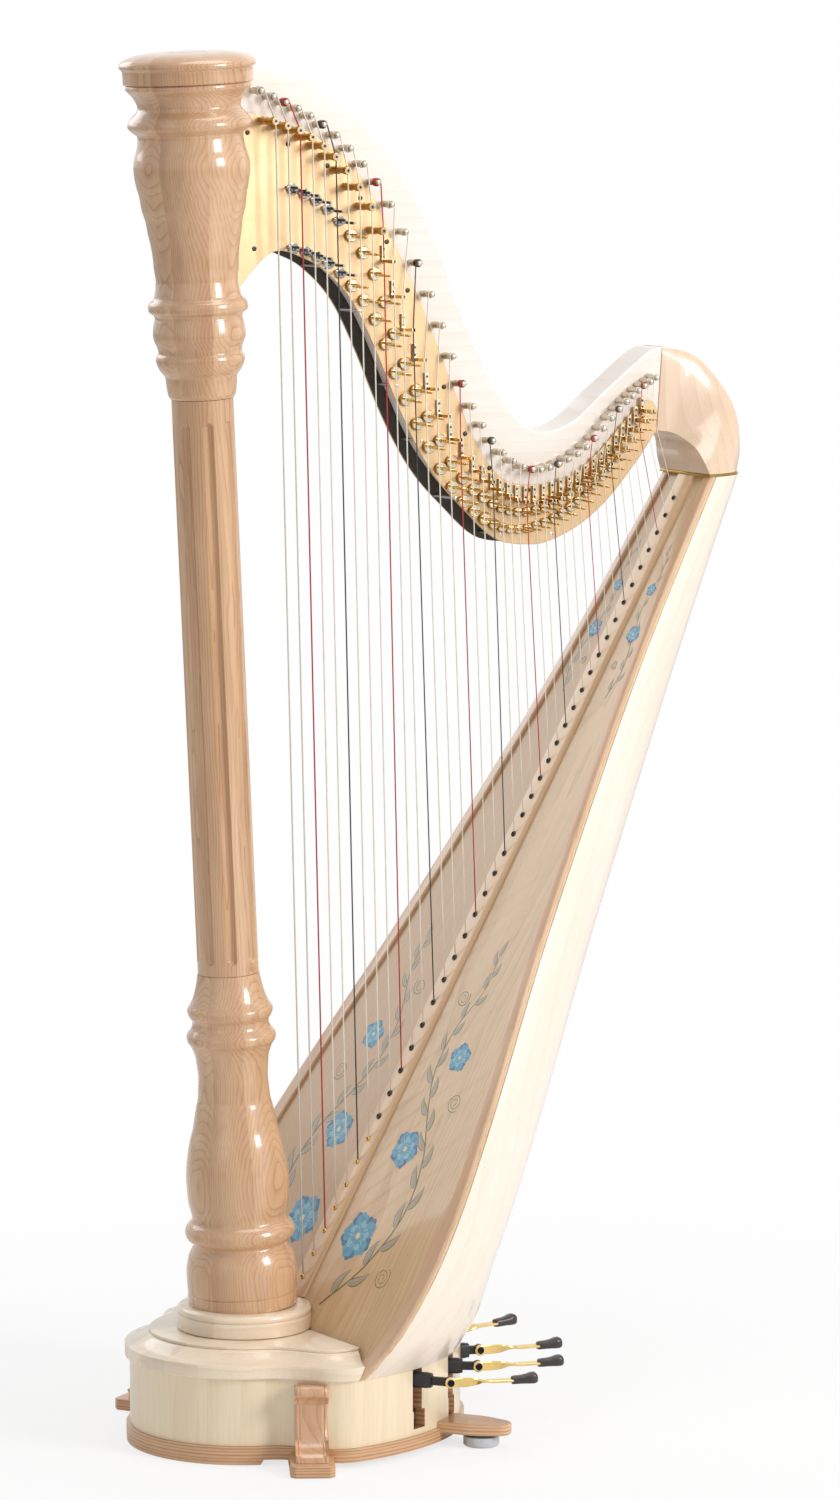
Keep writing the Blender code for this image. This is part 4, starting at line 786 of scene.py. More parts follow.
def plywood(name, light, dark, low, high, layers):
    """Edge of plywood: veneers between two heights, on flat faces the outer veneer."""
    n = Nodes(name, 0.35, coat=0.4)
    vector = n.place()
    wave = n.noise(n.stretch(vector, (9, 9, 60)), 1.0, 1.0)
    wave = n.math("MULTIPLY", n.math("SUBTRACT", wave, 0.5), 0.0008)
    height = n.math("ADD", n.parts(vector)["Z"], wave)
    layer = n.math("MULTIPLY", n.math("DIVIDE", n.math("SUBTRACT", height, low), high - low), layers)
    line = n.math("POWER", n.math("PINGPONG", layer, 1.0), 2.5)
    tone = n.random(n.math("FLOOR", layer))["Value"]
    fibre = n.noise(n.stretch(vector, (60, 60, 500)), 1.0, 3.0)
    value = n.total((line, 0.75), (tone, 0.22), (n.ramp(fibre, 0.4, 0.7), 0.15))
    n.colour(n.mix(value, srgb(light), srgb(dark)))
    n.bump(line, 0.25, 0.0003)
    return n.material


def metal(name, colour, roughness, scratch=0.1, speck=60.0):
    n = Nodes(name, roughness, metallic=1.0)
    cloud = n.noise(n.place(), speck, 4.0, 0.6)
    share = n.math("MULTIPLY", n.ramp(cloud, 0.35, 0.75), 0.7)
    n.colour(n.mix(share, srgb(colour), srgb(colour, 0.82)))
    rough = n.math("MULTIPLY", n.ramp(cloud, 0.2, 0.8), scratch)
    rough = n.math("ADD", rough, roughness - scratch / 2)
    n.tree.links.new(rough, n.shader.inputs["Roughness"])
    n.bump(cloud, 0.05)
    return n.material


def plain(name, colour, roughness, speck=300.0, depth=0.15, coat=0.0, grain=0.12):
    """Moulded or painted surface with a faint unevenness in tone and height."""
    n = Nodes(name, roughness, coat=coat)
    cloud = n.noise(n.place(), speck, 4.0, 0.6)
    n.colour(n.mix(n.ramp(cloud, 0.3, 0.7), srgb(colour), srgb(colour, 1 - grain)))
    n.bump(cloud, depth, 0.0001)
    return n.material


def string_material(name, colour, twist=0.0):
    """Gut or, with a number of turns per metre, wire wound round a core."""
    n = Nodes(name, 0.35, coat=0.3)
    vector = n.place()
    value = n.ramp(n.noise(n.stretch(vector, (400, 400, 60)), 1.0, 2.0), 0.3, 0.8)
    if twist:
        wound = n.math("PINGPONG", n.math("MULTIPLY", n.parts(vector)["Z"], twist), 1.0)
        value = n.math("MULTIPLY", n.math("ADD", value, wound), 0.5)
        n.bump(wound, 0.5)
    n.colour(n.mix(value, srgb(colour), srgb(colour, 0.8)))
    return n.material


UPRIGHT = Matrix.Rotation(math.pi / 2, 4, "Y")
ALONG_BOARD = Matrix.Rotation(BOARD_SLOPE, 4, "Y")
ALONG_COLUMN = Matrix.Rotation(math.pi / 2 + LEAN, 4, "Y")
M_COLUMN = turned_wood("beech_column", (236, 198, 158), (178, 128, 88), 7, 39.0, 380.0, 3.0)
M_BASE_TOP = wood("beech_base_top", (252, 236, 212), (226, 194, 160), rings=60,
                  stave_width=0.043, stave_tone=0.2, seed=1.0)
M_BRACKET = wood("beech_bracket", (224, 180, 142), (178, 128, 92), UPRIGHT, rings=120, ring_mix=0.35)
M_TRIM = wood("beech_trim", (228, 192, 158), (196, 152, 116), ALONG_BOARD, rings=70)
M_PALE = wood("maple_pale", (244, 236, 228), (232, 216, 200), rings=55, fleck=0.2)
M_SHOULDER = wood("maple_shoulder", (230, 204, 178), (208, 176, 144), UPRIGHT, rings=55)
M_SHELL = wood("maple_shell", (248, 237, 223), (236, 216, 194), ALONG_BOARD, rings=45, ring_mix=0.25)
M_WALL = wood("maple_wall", (246, 230, 200), (228, 202, 164), UPRIGHT, rings=40, ring_mix=0.25,
              fleck=0.35)
M_BOARD = wood("spruce_board", (230, 202, 162), (194, 156, 116), ALONG_BOARD, rings=260,
               ring_mix=0.35, fleck=0.35, coat=0.35, far_tone=0.7)
M_RIB = wood("beech_rib", (236, 202, 160), (204, 162, 118), ALONG_BOARD, rings=80, ring_mix=0.25)
M_RING = plywood("plywood_ring", (222, 180, 138), (170, 118, 78), RING_LOW, RING_HIGH, 8)
M_TOE = plywood("plywood_toe", (220, 176, 134), (166, 114, 76), 0.0, TOE_HIGH, 8)
M_TONGUE = plywood("plywood_foot", (228, 188, 148), (176, 126, 86), TONGUE_LOW, TONGUE_HIGH, 7)
M_SLOT = plywood("plywood_slot", (208, 160, 116), (146, 96, 62), RING_HIGH, WALL_HIGH, 28)
M_PLATE = metal("brass_plate", (201, 172, 134), 0.42, 0.12, 30.0)
M_GOLD = metal("brass_polished", (214, 172, 92), 0.2, 0.08)
# Paler copy of the polished brass for faces that look to the front: a painted highlight and reflection of
# the white room
M_BRASS_PAINTED_SHEEN = metal("brass_face_painted_sheen", (255, 248, 222), 0.22, 0.08)
M_ARM = metal("brass_arm", (236, 206, 132), 0.18, 0.08)
M_BARREL = metal("brass_barrel", (204, 160, 88), 0.3, 0.1)
M_CHROME = metal("chrome", (225, 225, 225), 0.08, 0.05)
M_NICKEL = metal("nickel_pin", (206, 194, 176), 0.28, 0.15)
M_STEEL = metal("steel", (150, 148, 145), 0.35, 0.15)
# Dark grey for the inner face of the far plate: painted shade of the gap between the two plates
M_PLATE_PAINTED_SHADE = plain("plate_back_painted_shade", (70, 66, 62), 0.5)
M_BLUED = metal("blued_screw", (40, 40, 52), 0.3, 0.1)
M_SCREW = plain("dark_screw", (62, 48, 34), 0.4)
M_BLACK = plain("black_rubber", (34, 32, 32), 0.42, 220.0, 0.25)
M_CAP = plain("pedal_cap", (52, 42, 40), 0.35, 260.0, 0.3, coat=0.2)
M_PAD = plain("foot_pad", (200, 204, 208), 0.3, coat=0.4)
M_PAD_RING = plain("foot_pad_ring", (70, 72, 74), 0.5)
M_GROMMET = plain("grommet_black", (30, 26, 24), 0.3, coat=0.3)
M_STRINGS = {
    "pale": string_material("string_pale", (236, 230, 214)),
    "red": string_material("string_red", (178, 28, 34)),
    "black": string_material("string_black", (44, 46, 52)),
    "wound": string_material("string_wound", (214, 210, 202), 1400.0),
}
M_PAINT = {
    name: plain("paint_" + name, colour, 0.4, speck, 0.05, 0.3, grain)
    for name, colour, speck, grain in (
        ("edge", (122, 116, 74), 400.0, 0.12), ("leaf", (176, 172, 138), 300.0, 0.12),
        ("mauve", (188, 172, 172), 300.0, 0.12), ("deep", (52, 118, 160), 300.0, 0.12),
        ("blue", (96, 172, 206), 160.0, 0.25), ("sky", (142, 200, 222), 200.0, 0.2),
        ("cream", (232, 222, 176), 300.0, 0.12))
}
# Disc looks by material index; the last of DISC_LOOK is the paler brass of the painted highlight on the
# faces
DISC_LOOK = [M_GOLD, M_SCREW, M_CHROME, M_BRASS_PAINTED_SHEEN]
BASS_DISC_LOOK = [M_CHROME, M_BLACK, M_CHROME, M_CHROME]


# Base

def build_base():
    foot = prism(base_outline(RING_INSET + 0.5 * MM), 0, RING_LOW + 1 * MM)
    slice_off(foot, (FRONT_FOOT_X, 0, 0), (1, 0, -FOOT_SLANT))
    ring = prism(base_outline(RING_INSET), RING_LOW, RING_HIGH)
    join(ring, foot)
    piece("base_ring", ring, M_RING, "base_plate", bevel=1.2 * MM)
    half = TOE_WIDTH / 2
    outline = ((-TOE_ROOT, -half), (TOE_LENGTH - TOE_CUT, -half), (TOE_LENGTH, -half + TOE_CUT),
               (TOE_LENGTH, half - TOE_CUT), (TOE_LENGTH - TOE_CUT, half), (-TOE_ROOT, half))
    toe = moved(prism(outline, 0, TOE_HIGH), BRACKET)
    join(toe, mirrored(toe))
    piece("base_toes", toe, M_TOE, bevel=1.5 * MM)

    outer = base_outline(WALL_INSET)
    inner = base_outline(WALL_INSET + WALL_THICK)
    low = RING_HIGH + SEAT
    wall = loft([
        [(x, y, low) for x, y in inner], [(x, y, WALL_HIGH) for x, y in inner],
        [(x, y, WALL_HIGH) for x, y in outer], [(x, y, low) for x, y in outer],
        [(x, y, low) for x, y in inner]], caps=False)
    bmesh.ops.remove_doubles(wall, verts=wall.verts, dist=1e-6)
    bmesh.ops.recalc_face_normals(wall, faces=wall.faces)
    clear = SLEEVE_THICK / 2 + SLOT_CLEAR
    tight = SLEEVE_THICK / 2 + SLOT_TIGHT
    wide = clear + SLOT_SHIFT
    high = WALL_HIGH + 5 * MM
    top = SLOT_STEP + 1 * MM
    deep = 5 * WALL_THICK
    cutters = bmesh.new()
    for pedal in PEDALS:
        middle = wall_point(pedal)
        way = lever_way(pedal)
        turn = math.atan2(way.y, way.x)
        side = Vector((-way.y, way.x, 0)) * outer_side(pedal)
        upper = block((middle.x, middle.y, (SLOT_STEP + high) / 2),
                      (deep, 2 * clear, high - SLOT_STEP), turn)
        lower = block(Vector((middle.x, middle.y, (SLOT_LOW + top) / 2)) + side * (wide - tight) / 2,
                      (deep, wide + tight, top - SLOT_LOW), turn)
        join(cutters, boolean(upper, lower, "UNION"), index=1)
    wall = boolean(wall, cutters)
    piece("base_wall_veneer", wall, [M_WALL, M_SLOT], "base_wall", smooth=30)

    rear = board_x(WALL_HIGH) + 60 * MM
    rings = [[(x, y, z * MM) for x, y in base_outline(inset * MM, rear)] for z, inset in TOP_LEVELS]
    top = loft(rings)
    slice_off(top, board_point(0, -RIB_THICK + TRIM_THICK + SEAT), BOARD_NORMAL)
    piece("base_moulding", top, M_BASE_TOP, "base_top", smooth=25)


def build_brackets():
    line = smooth_line(BRACKET_LINE[:-1], 5)
    line += [(BRACKET_LINE[-1][0] * MM, BRACKET_LOW), (BRACKET_LINE[0][0] * MM, BRACKET_LOW)]
    half = BRACKET_WIDTH / 2
    middle = Vector(BRACKET_MIDDLE) * MM
    rings = []
    for side in (-1, 1):
        for inward, inset in BRACKET_EDGE[::-side]:
            ring = []
            for k, point in enumerate(line):
                point = Vector(point)
                way = (Vector(line[(k + 1) % len(line)]) - Vector(line[k - 1])).normalized()
                normal = Vector((way.y, -way.x))
                if normal.dot(point - middle) < 0:
                    normal = -normal
                if point.y < BRACKET_FLAT:
                    normal = Vector((1, 0))
                point -= normal * inset * MM
                ring.append((point.x, side * (half - inward * MM), point.y))
            rings.append(ring)
    scroll = moved(loft(rings), BRACKET)
    other = mirrored(scroll)
    piece("scroll_left", scroll, M_BRACKET, "scroll_bracket_left", smooth=32)
    piece("scroll_right", other, M_BRACKET, "scroll_bracket_right", smooth=32)


def build_rear_feet():
    along = (TONGUE_TIP - TONGUE_START).normalized()
    side = Vector((-along.y, along.x, 0))
    length = (TONGUE_TIP - TONGUE_START).length
    half = TONGUE_WIDTH / 2
    tip = half * 0.62
    edge = [(0, half), (length * 0.4, half), (length * 0.62, half * 0.97), (length - tip * 0.8, tip),
            (length - tip * 0.3, tip * 0.72), (length - tip * 0.05, tip * 0.38), (length, 0)]
    rows = [(k, run / MM, off / MM) for k, (run, off) in enumerate(edge)]
    fine = [curve_value(rows, k / 6) for k in range((len(rows) - 1) * 6 + 1)]
    rows = [(run, -off) for run, off in fine] + [(run, off) for run, off in fine[-2::-1]]
    outline = []
    for run, off in rows:
        spot = TONGUE_START + along * run + side * off
        outline.append((spot.x, spot.y))
    foot = prism(outline, TONGUE_LOW, TONGUE_HIGH)
    other = mirrored(foot)
    spot = TONGUE_TIP - along * PAD_FROM_TIP
    for name, maker, way in (("left", foot, 1), ("right", other, -1)):
        piece(f"tongue_{name}", maker, M_TONGUE, f"rear_foot_{name}", bevel=2 * MM, segments=3)
        place = Vector((spot.x, spot.y * way, 0))
        pad = turned([(run * MM, PAD_RADIUS - inset * MM) for run, inset in PAD_LINE], 48, place)
        place.z = PAD_LINE[-1][0] * MM
        join(pad, turned([(0, PAD_RING_RADIUS), (PAD_RING_HIGH, PAD_RING_RADIUS)], 48, place), index=1)
        piece(f"pad_{name}", pad, [M_PAD, M_PAD_RING], f"foot_pad_{name}")


# Column

def column_line(rows, steps=4):
    """Smooth (distance along the column, radius) points, from the lowest up."""
    fine = smooth_line([(radius, height) for height, radius in rows], steps)
    line = [((height - BASE_HIGH) / math.cos(LEAN), radius) for radius, height in fine]
    return sorted(line)


def build_turnings():
    line = smooth_line([(radius, height) for height, radius in PLINTH_LINE[::-1]], 3)
    plinth = turned([(height, radius) for radius, height in line], STEPS_OF_TURNING)
    slice_off(plinth, board_point(0, -RIB_THICK + SEAT), BOARD_NORMAL)
    piece("plinth_ring", plinth, M_BASE_TOP, "column_plinth", smooth=28)
    for name, rows, node in (("foot_turning", FOOT_LINE, "column_base"),
                             ("capital_turning", CAPITAL_LINE, "column_capital"),
                             ("cap_lid", CAP_LINE, "column_cap")):
        body = moved(turned(column_line(rows), STEPS_OF_TURNING), COLUMN)
        if rows is FOOT_LINE:
            slice_off(body, (0, 0, TURNING_LOW), (0, 0, -1))
        piece(name, body, M_COLUMN, node, smooth=32)


def flute_depth(height):
    """Half width of a flute, which runs out round at both ends."""
    near_end = min(height - FLUTE_LOW, FLUTE_HIGH - height)
    if near_end <= 0:
        return 0.0
    if near_end < FLUTE_RADIUS:
        return math.sqrt(FLUTE_RADIUS ** 2 - (FLUTE_RADIUS - near_end) ** 2)
    return FLUTE_RADIUS


def build_shaft():
    heights = [SHAFT_LOW, SHAFT_HIGH]
    for end, way in ((FLUTE_LOW, 1), (FLUTE_HIGH, -1)):
        heights += [end + way * FLUTE_RADIUS * (1 - math.cos(math.pi / 2 * k / 8)) for k in range(9)]
    heights += [FLUTE_LOW + (FLUTE_HIGH - FLUTE_LOW) * k / 30 for k in range(2, 29)]
    heights.sort()
    step = 2 * math.pi / FLUTE_COUNT
    gap = step - 2 * FLUTE_HALF_ANGLE
    angles = []
    for flute in range(FLUTE_COUNT):
        middle = step * (flute + 0.5)
        angles += [middle + FLUTE_HALF_ANGLE * (k / 8) for k in range(-8, 9)]
        angles += [middle + FLUTE_HALF_ANGLE + gap * k / 5 for k in range(1, 5)]
    rings = []
    for height in heights:
        size = flute_depth(height)
        ring = []
        for angle in angles:
            off = (angle % step) - step / 2
            radius = SHAFT_RADIUS
            inside = size ** 2 - (FLUTE_REACH * math.sin(off)) ** 2
            if inside > 0:
                radius = min(radius, FLUTE_REACH * math.cos(off) - math.sqrt(inside))
            ring.append((radius * math.cos(angle), radius * math.sin(angle),
                         (height - BASE_HIGH) / math.cos(LEAN)))
        rings.append(ring)
    shaft = moved(loft(rings), COLUMN)
    piece("fluted_shaft", shaft, M_COLUMN, "column_shaft", smooth=32)


# Soundbox

def shell_ring(z, inset, sides=72):
    out = -RIB_THICK - BOARD_THICK - SEAT
    front = board_x(z, out)
    half = board_half((z - GROMMET_Z) / math.sin(BOARD_SLOPE)) - inset
    depth = curve_value(BODY_DEPTH, z / MM)[0] - (front - board_x(z)) - inset
    return [(front + depth * math.sin(math.pi * k / sides), -half * math.cos(math.pi * k / sides), z)
            for k in range(sides + 1)]


def build_shell():
    levels = 56
    low = WALL_HIGH + SEAT
    heights = [low + (BODY_HIGH - low) * k / levels for k in range(levels + 1)]
    shell = loft([shell_ring(z, 0) + shell_ring(z, SHELL_THICK)[::-1] for z in heights])
    cutters = bmesh.new()
    for level in HOLE_LEVELS:
        ring = shell_ring(level * MM, 0)
        back = max(x for x, y, z in ring)
        half = max(y for x, y, z in ring)
        hole = turned([(-0.06, 1), (0.06, 1)], 48, (0, 0, 0), (1, 0, 0))
        size = Matrix.Diagonal((1, HOLE_WIDTH_SHARE * half, HOLE_HALF_HEIGHT, 1))
        join(cutters, hole, Matrix.Translation((back, 0, level * MM)) @ size)
    piece("shell_veneer", boolean(shell, cutters), M_SHELL, "soundbox_shell", smooth=30)


def board_strip(maker, low):
    """Cut a strip on the board level at the body's top and at a low height."""
    slice_off(maker, (0, 0, BODY_HIGH), (0, 0, 1))
    slice_off(maker, (0, 0, low), (0, 0, -1))
    return maker


def build_trims():
    first = -TRIM_START
    count = 110
    base = -RIB_THICK + SEAT
    top = -RIB_THICK + TRIM_THICK
    for name, way in (("left", -1), ("right", 1)):
        rings = []
        for k in range(count + 1):
            s = first + (BOARD_END - first) * k / count
            width = TRIM_LOW_WIDTH + (TRIM_TOP_WIDTH - TRIM_LOW_WIDTH) * k / count
            out = board_half(s)
            section = ((out - width, base), (out - width, top - 1.4 * MM), (out - width + 1.2 * MM, top),
                       (out - 4.5 * MM, top), (out - 2.2 * MM, top - 0.7 * MM),
                       (out - 0.6 * MM, top - 2.2 * MM), (out, base))
            rings.append([board_point(s, height, way * across) for across, height in section])
        trim = board_strip(loft(rings), WALL_HIGH + SEAT)
        piece(f"trim_{name}", trim, M_TRIM, f"soundboard_trim_{name}", smooth=24)


def build_rib():
    left = [(-RIB_HALF, -RIB_THICK + SEAT), (-RIB_HALF + 1.2 * MM, -1.6 * MM),
            (-RIB_HALF + 3.4 * MM, -0.2 * MM), (-RIB_HALF + 5 * MM, 0)]
    section = left + [(-y, height) for y, height in left[::-1]]
    rib = loft([[board_point(s, height, y) for y, height in section] for s in (RIB_START, BOARD_END)])
    piece("rib_strip", board_strip(rib, RIB_LOW), M_RIB, "string_rib", smooth=24)


# Painted garlands on the soundboard, as places (along, across) in mm from the lowest string

GARLAND_LOW = ((-25, 52), (35, 104), (110, 134), (180, 122), (238, 88), (292, 62), (350, 62),
               (408, 84), (452, 82))
GARLAND_TOP = ((806, 46), (846, 54), (892, 44), (940, 34), (984, 40), (1012, 34))
BLOSSOMS = ((70, 64, 33, 0.4), (190, 76, 26, 1.3), (318, 98, 20, 0.8), (896, 42, 13, 0.2),
            (958, 36, 9, 1.0))
CURLS = ((30, 150, 15, 0.5), (262, 130, 13, 2.4), (392, 50, 12, 1.0), (852, 34, 6, 2.0))


def strip(target, line, left, right, layer):
    """Thin paint along a line on the board, with its own width to either side."""
    low = PAINT_LOW
    high = low + PAINT_LAYER * layer
    rings = []
    for k, point in enumerate(line):
        way = (Vector(line[min(k + 1, len(line) - 1)]) - Vector(line[max(k - 1, 0)])).normalized()
        side = Vector((-way.y, way.x))
        a = Vector(point) + side * left[k]
        b = Vector(point) - side * right[k]
        rings.append([board_point(s, out, across) for s, across, out in (
            (a.x, a.y, low), (b.x, b.y, low), (b.x, b.y, high), (a.x, a.y, high))])
    join(target, loft(rings))


def around(along, across, reach, angle):
    """Place on the board at a distance and angle from a point given in mm."""
    return along * MM + reach * math.cos(angle), across * MM + reach * math.sin(angle)


def leaf(paint, root, angle, length, width, bend):
    """Curved leaf with a dark edge, a green half and a mauve half."""
    steps = 9
    spot = Vector(root)
    line = []
    half = []
    for k in range(steps + 1):
        line.append(spot.copy())
        half.append(width / 2 * math.sin(math.pi * (k / steps) ** 0.7) + 0.12 * MM)
        heading = angle + bend * k / steps
        spot += Vector((math.cos(heading), math.sin(heading))) * length / steps
    strip(paint["edge"], line, half, half, 1)
    strip(paint["leaf"], line, [h * 0.72 for h in half], [h * 0.1 for h in half], 2)
    strip(paint["mauve"], line, [-h * 0.16 for h in half], [h * 0.78 for h in half], 2)


def blossom(paint, along, across, radius, turn):
    """Flower of five ruffled petals, each layer smaller and of another blue."""
    for name, size, layer in (("deep", 1.05, 1), ("blue", 1.0, 2), ("sky", 0.66, 3), ("blue", 0.4, 4),
                              ("cream", 0.16, 5)):
        outline = []
        for k in range(90):
            angle = 2 * math.pi * k / 90
            lobe = abs(math.cos(2.5 * angle)) ** 0.6
            reach = radius * MM * size * (0.5 + 0.44 * lobe + 0.04 * math.cos(15 * angle))
            outline.append(around(along, across, reach, angle + turn + 0.3 * layer))
        levels = (PAINT_LOW, PAINT_LOW + PAINT_LAYER * layer)
        join(paint[name], loft([[board_point(s, out, y) for s, y in outline] for out in levels]))
    half = [0.5 * MM, 0.4 * MM, 0.3 * MM, 0.1 * MM]
    for petal in range(5):
        angle = turn + 0.6 + 2 * math.pi * petal / 5
        line = [around(along, across, radius * MM * share, angle) for share in (0.3, 0.5, 0.7, 0.84)]
        strip(paint["deep"], line, half, half, 4)


def build_garlands():
    paint = {name: bmesh.new() for name in M_PAINT}
    for points, size in ((GARLAND_LOW, 1.0), (GARLAND_TOP, 0.45)):
        line = smooth_line(points, 8)
        count = len(line) - 1
        half = [(1.5 - 1.1 * k / count) * size * MM for k in range(count + 1)]
        strip(paint["edge"], line, half, half, 1)
        for k in range(2, count, 3):
            way = Vector(line[k + 1]) - Vector(line[k - 1])
            angle = math.atan2(way.y, way.x)
            side = 1 if k % 2 else -1
            length = (44 - 22 * k / count) * size * MM
            leaf(paint, line[k], angle + side * 0.75, length, length * 0.3, -side * 0.9)
        way = Vector(line[-1]) - Vector(line[-2])
        leaf(paint, line[-1], math.atan2(way.y, way.x), 26 * size * MM, 7 * size * MM, 0.5)
    for row in BLOSSOMS:
        blossom(paint, *row)
    shares = [k / 32 for k in range(33)]
    for along, across, radius, turn in CURLS:
        line = [around(along, across, radius * (1 - 0.8 * share) * MM, turn + 4.4 * math.pi * share)
                for share in shares]
        half = [(0.6 - 0.35 * share) * MM for share in shares]
        strip(paint["edge"], line, half, half, 1)
    for name, group in paint.items():
        join(group, mirrored(group))
        piece(f"garland_{name}", group, M_PAINT[name], smooth=0)


def build_grommets():
    dark = bmesh.new()
    bright = bmesh.new()
    for number in NUMBERS:
        size = (4.6 - 1.4 * (number - 1) / (STRING_COUNT - 1)) * MM
        if number <= LAST_CHROME:
            size *= 0.72
        station = string_station(number)
        line = [(run * MM, size * share) for run, share in EYELET_LINE]
        eyelet = turned(line, 20, board_point(station), board_point(station, 1))
        join(bright if number <= LAST_CHROME else dark, eyelet)
    piece("grommets_brass", bright, M_GOLD)
    piece("grommets_black", dark, M_GROMMET)


def string_colour(number):
    if number in (1, 2):
        return "wound"
    return {3: "red", 6: "black"}.get(number % 7, "pale")


def build_strings():
    groups = {name: bmesh.new() for name in M_STRINGS}
    for number in NUMBERS:
        radius = string_radius(number)
        group = groups[string_colour(number)]
        foot = board_point(string_station(number), -1 * MM)
        top = nut_point(number)
        end = string_end(number)
        pin = tuning_point(number)
        join(group, sweep([foot, top + (foot - top).normalized() * 2 * MM,
                           top + (end - top).normalized() * 2 * MM, end], radius, 8))
        arm = end - Vector((pin.x, end.y, pin.z))
        start = math.atan2(arm.z, arm.x)
        turn = 1 if number > LAST_ON_RIGHT else -1
        steps = 44
        coil = []
        for k in range(steps + 1):
            wound = WINDS * k / steps
            angle = start - turn * 2 * math.pi * wound
            coil.append((pin.x + arm.length * math.cos(angle), end.y + 2.3 * radius * wound,
                         pin.z + arm.length * math.sin(angle)))
        join(group, sweep(coil, radius, 6))
    for name, group in groups.items():
        piece(f"strings_{name}", group, M_STRINGS[name], smooth=60)


# Neck and action

def build_neck():
    outline = smooth_line(NECK_UPPER) + smooth_line(NECK_LOWER)
    far = NECK_NEAR + NECK_WIDTH
    piece("neck_board", upright(outline, NECK_NEAR, far), M_PALE, "neck", bevel=2.4 * MM, segments=3,
          smooth=30)
    pins = bmesh.new()
    length = PIN_OUT + 1 * MM
    line = [(run * MM, PIN_RADIUS * share) for run, share in PIN_ROOT]
    line += [(length - run * MM, PIN_RADIUS * share) for run, share in PIN_TIP]
    for number in NUMBERS:
        x, _, z = tuning_point(number)
        join(pins, turned(line, 20, (x, NECK_NEAR + 1 * MM, z), (x, NECK_NEAR - PIN_OUT, z)))
        join(pins, block((x, far + HEAD_OUT / 2, z), (HEAD_SIZE, HEAD_OUT, HEAD_SIZE)))
        join(pins, rod(PIN_RADIUS * 1.1, (x, far - 1 * MM, z), (x, far + 3 * MM, z)))
    piece("tuning_pins", pins, M_NICKEL, bevel=0.25 * MM, segments=1)


def nut_block(number):
    """Forked block that holds a string between its walls."""
    top = nut_point(number)
    below = (top - board_point(string_station(number))).normalized()
    above = (string_end(number) - top).normalized()
    steepest = max(abs(below.x / below.z), abs(above.x / above.z))
    slot = string_radius(number) * (1 + steepest) + STRING_CLEAR + NUT_HIGH / 2 * steepest
    half = slot + NUT_WALL
    near = PLATE_NEAR - NUT_OUT
    root = PLATE_NEAR + 1 * MM
    bottom = string_radius(number) + 0.5 * MM
    outline = ((-half, near), (-slot, near), (-slot, bottom), (slot, bottom), (slot, near),
               (half, near), (half, root), (-half, root))
    return prism([(x + top.x, y) for x, y in outline], top.z - NUT_HIGH / 2, top.z + NUT_HIGH / 2)


def build_plates():
    outline = smooth_line(PLATE_UPPER) + smooth_line(PLATE_LOWER)
    far = NECK_NEAR + NECK_WIDTH + SEAT
    right = upright(outline, far, far + PLATE_THICK)
    # Faces of the far plate that look towards the strings take the dark grey of painted shade between the
    # plates
    mark_front(right, 1)
    piece("plate_right", right, [M_PLATE, M_PLATE_PAINTED_SHADE], "action_plate_right", bevel=0.5 * MM)
    left = upright(outline, PLATE_NEAR, PLATE_NEAR + PLATE_THICK)
    piece("plate_left", left, M_PLATE, "action_plate_left", bevel=0.5 * MM)
    for name, places, line, material in (("plate_screws", PLATE_SCREWS, SCREW_HEAD, M_SCREW),
                                         ("plate_rivets", SPACERS, RIVET_HEAD, M_CHROME)):
        heads = bmesh.new()
        for x, z in in_mm(places):
            spot = Vector((x, PLATE_NEAR + 0.5 * MM, z))
            join(heads, turned(in_mm(line), 20, spot, spot + TO_STRINGS))
        piece(name, heads, material)
    posts = bmesh.new()
    near = PLATE_NEAR + PLATE_THICK + SEAT
    for x, z in in_mm(SPACERS):
        join(posts, rod(POST_RADIUS, (x, near, z), (x, far + 1 * MM, z), 20, 0.3 * MM))
    piece("plate_posts", posts, M_STEEL)


def stack(target, front, rows):
    """Round steps before a point: (radius, start, end, sides, edge, material), lengths in metres."""
    for radius, start, end, sides, edge, index in rows:
        join(target, rod(radius, front + TO_STRINGS * start, front + TO_STRINGS * end, sides, edge),
             index=index)


def build_bridge():
    barrels = bmesh.new()
    size = BRIDGE_RADIUS
    length = BRIDGE_OUT + 1 * MM
    at_string = PLATE_NEAR + 1 * MM
    for number in range(1, BRIDGE_PINS + 1):
        top = nut_point(number)
        x = top.x - BRIDGE_RADIUS - string_radius(number) - SEAT
        root = Vector((x, PLATE_NEAR + 1 * MM, top.z))
        end = Vector((x, PLATE_NEAR - BRIDGE_OUT, top.z))
        groove = string_radius(number) + 0.8 * MM
        join(barrels, turned([
            (0, size * 1.25), (13 * MM, size * 1.25), (14 * MM, size), (at_string - 2 * groove, size),
            (at_string - groove, size * 0.99), (at_string + groove, size * 0.99),
            (length - 7.5 * MM, size), (length - 7 * MM, size * 1.22), (length - 0.8 * MM, size * 1.22),
            (length, size * 1.1)], 28, root, end))
        stack(barrels, end, ((size * 0.86, -0.5 * MM, 0.3 * MM, 24, 0, 1),
                             (size * 0.42, -0.5 * MM, 0.5 * MM, 6, 0, 2)))
    piece("bridge_barrels", barrels, [M_BARREL, M_CHROME, M_BLUED])


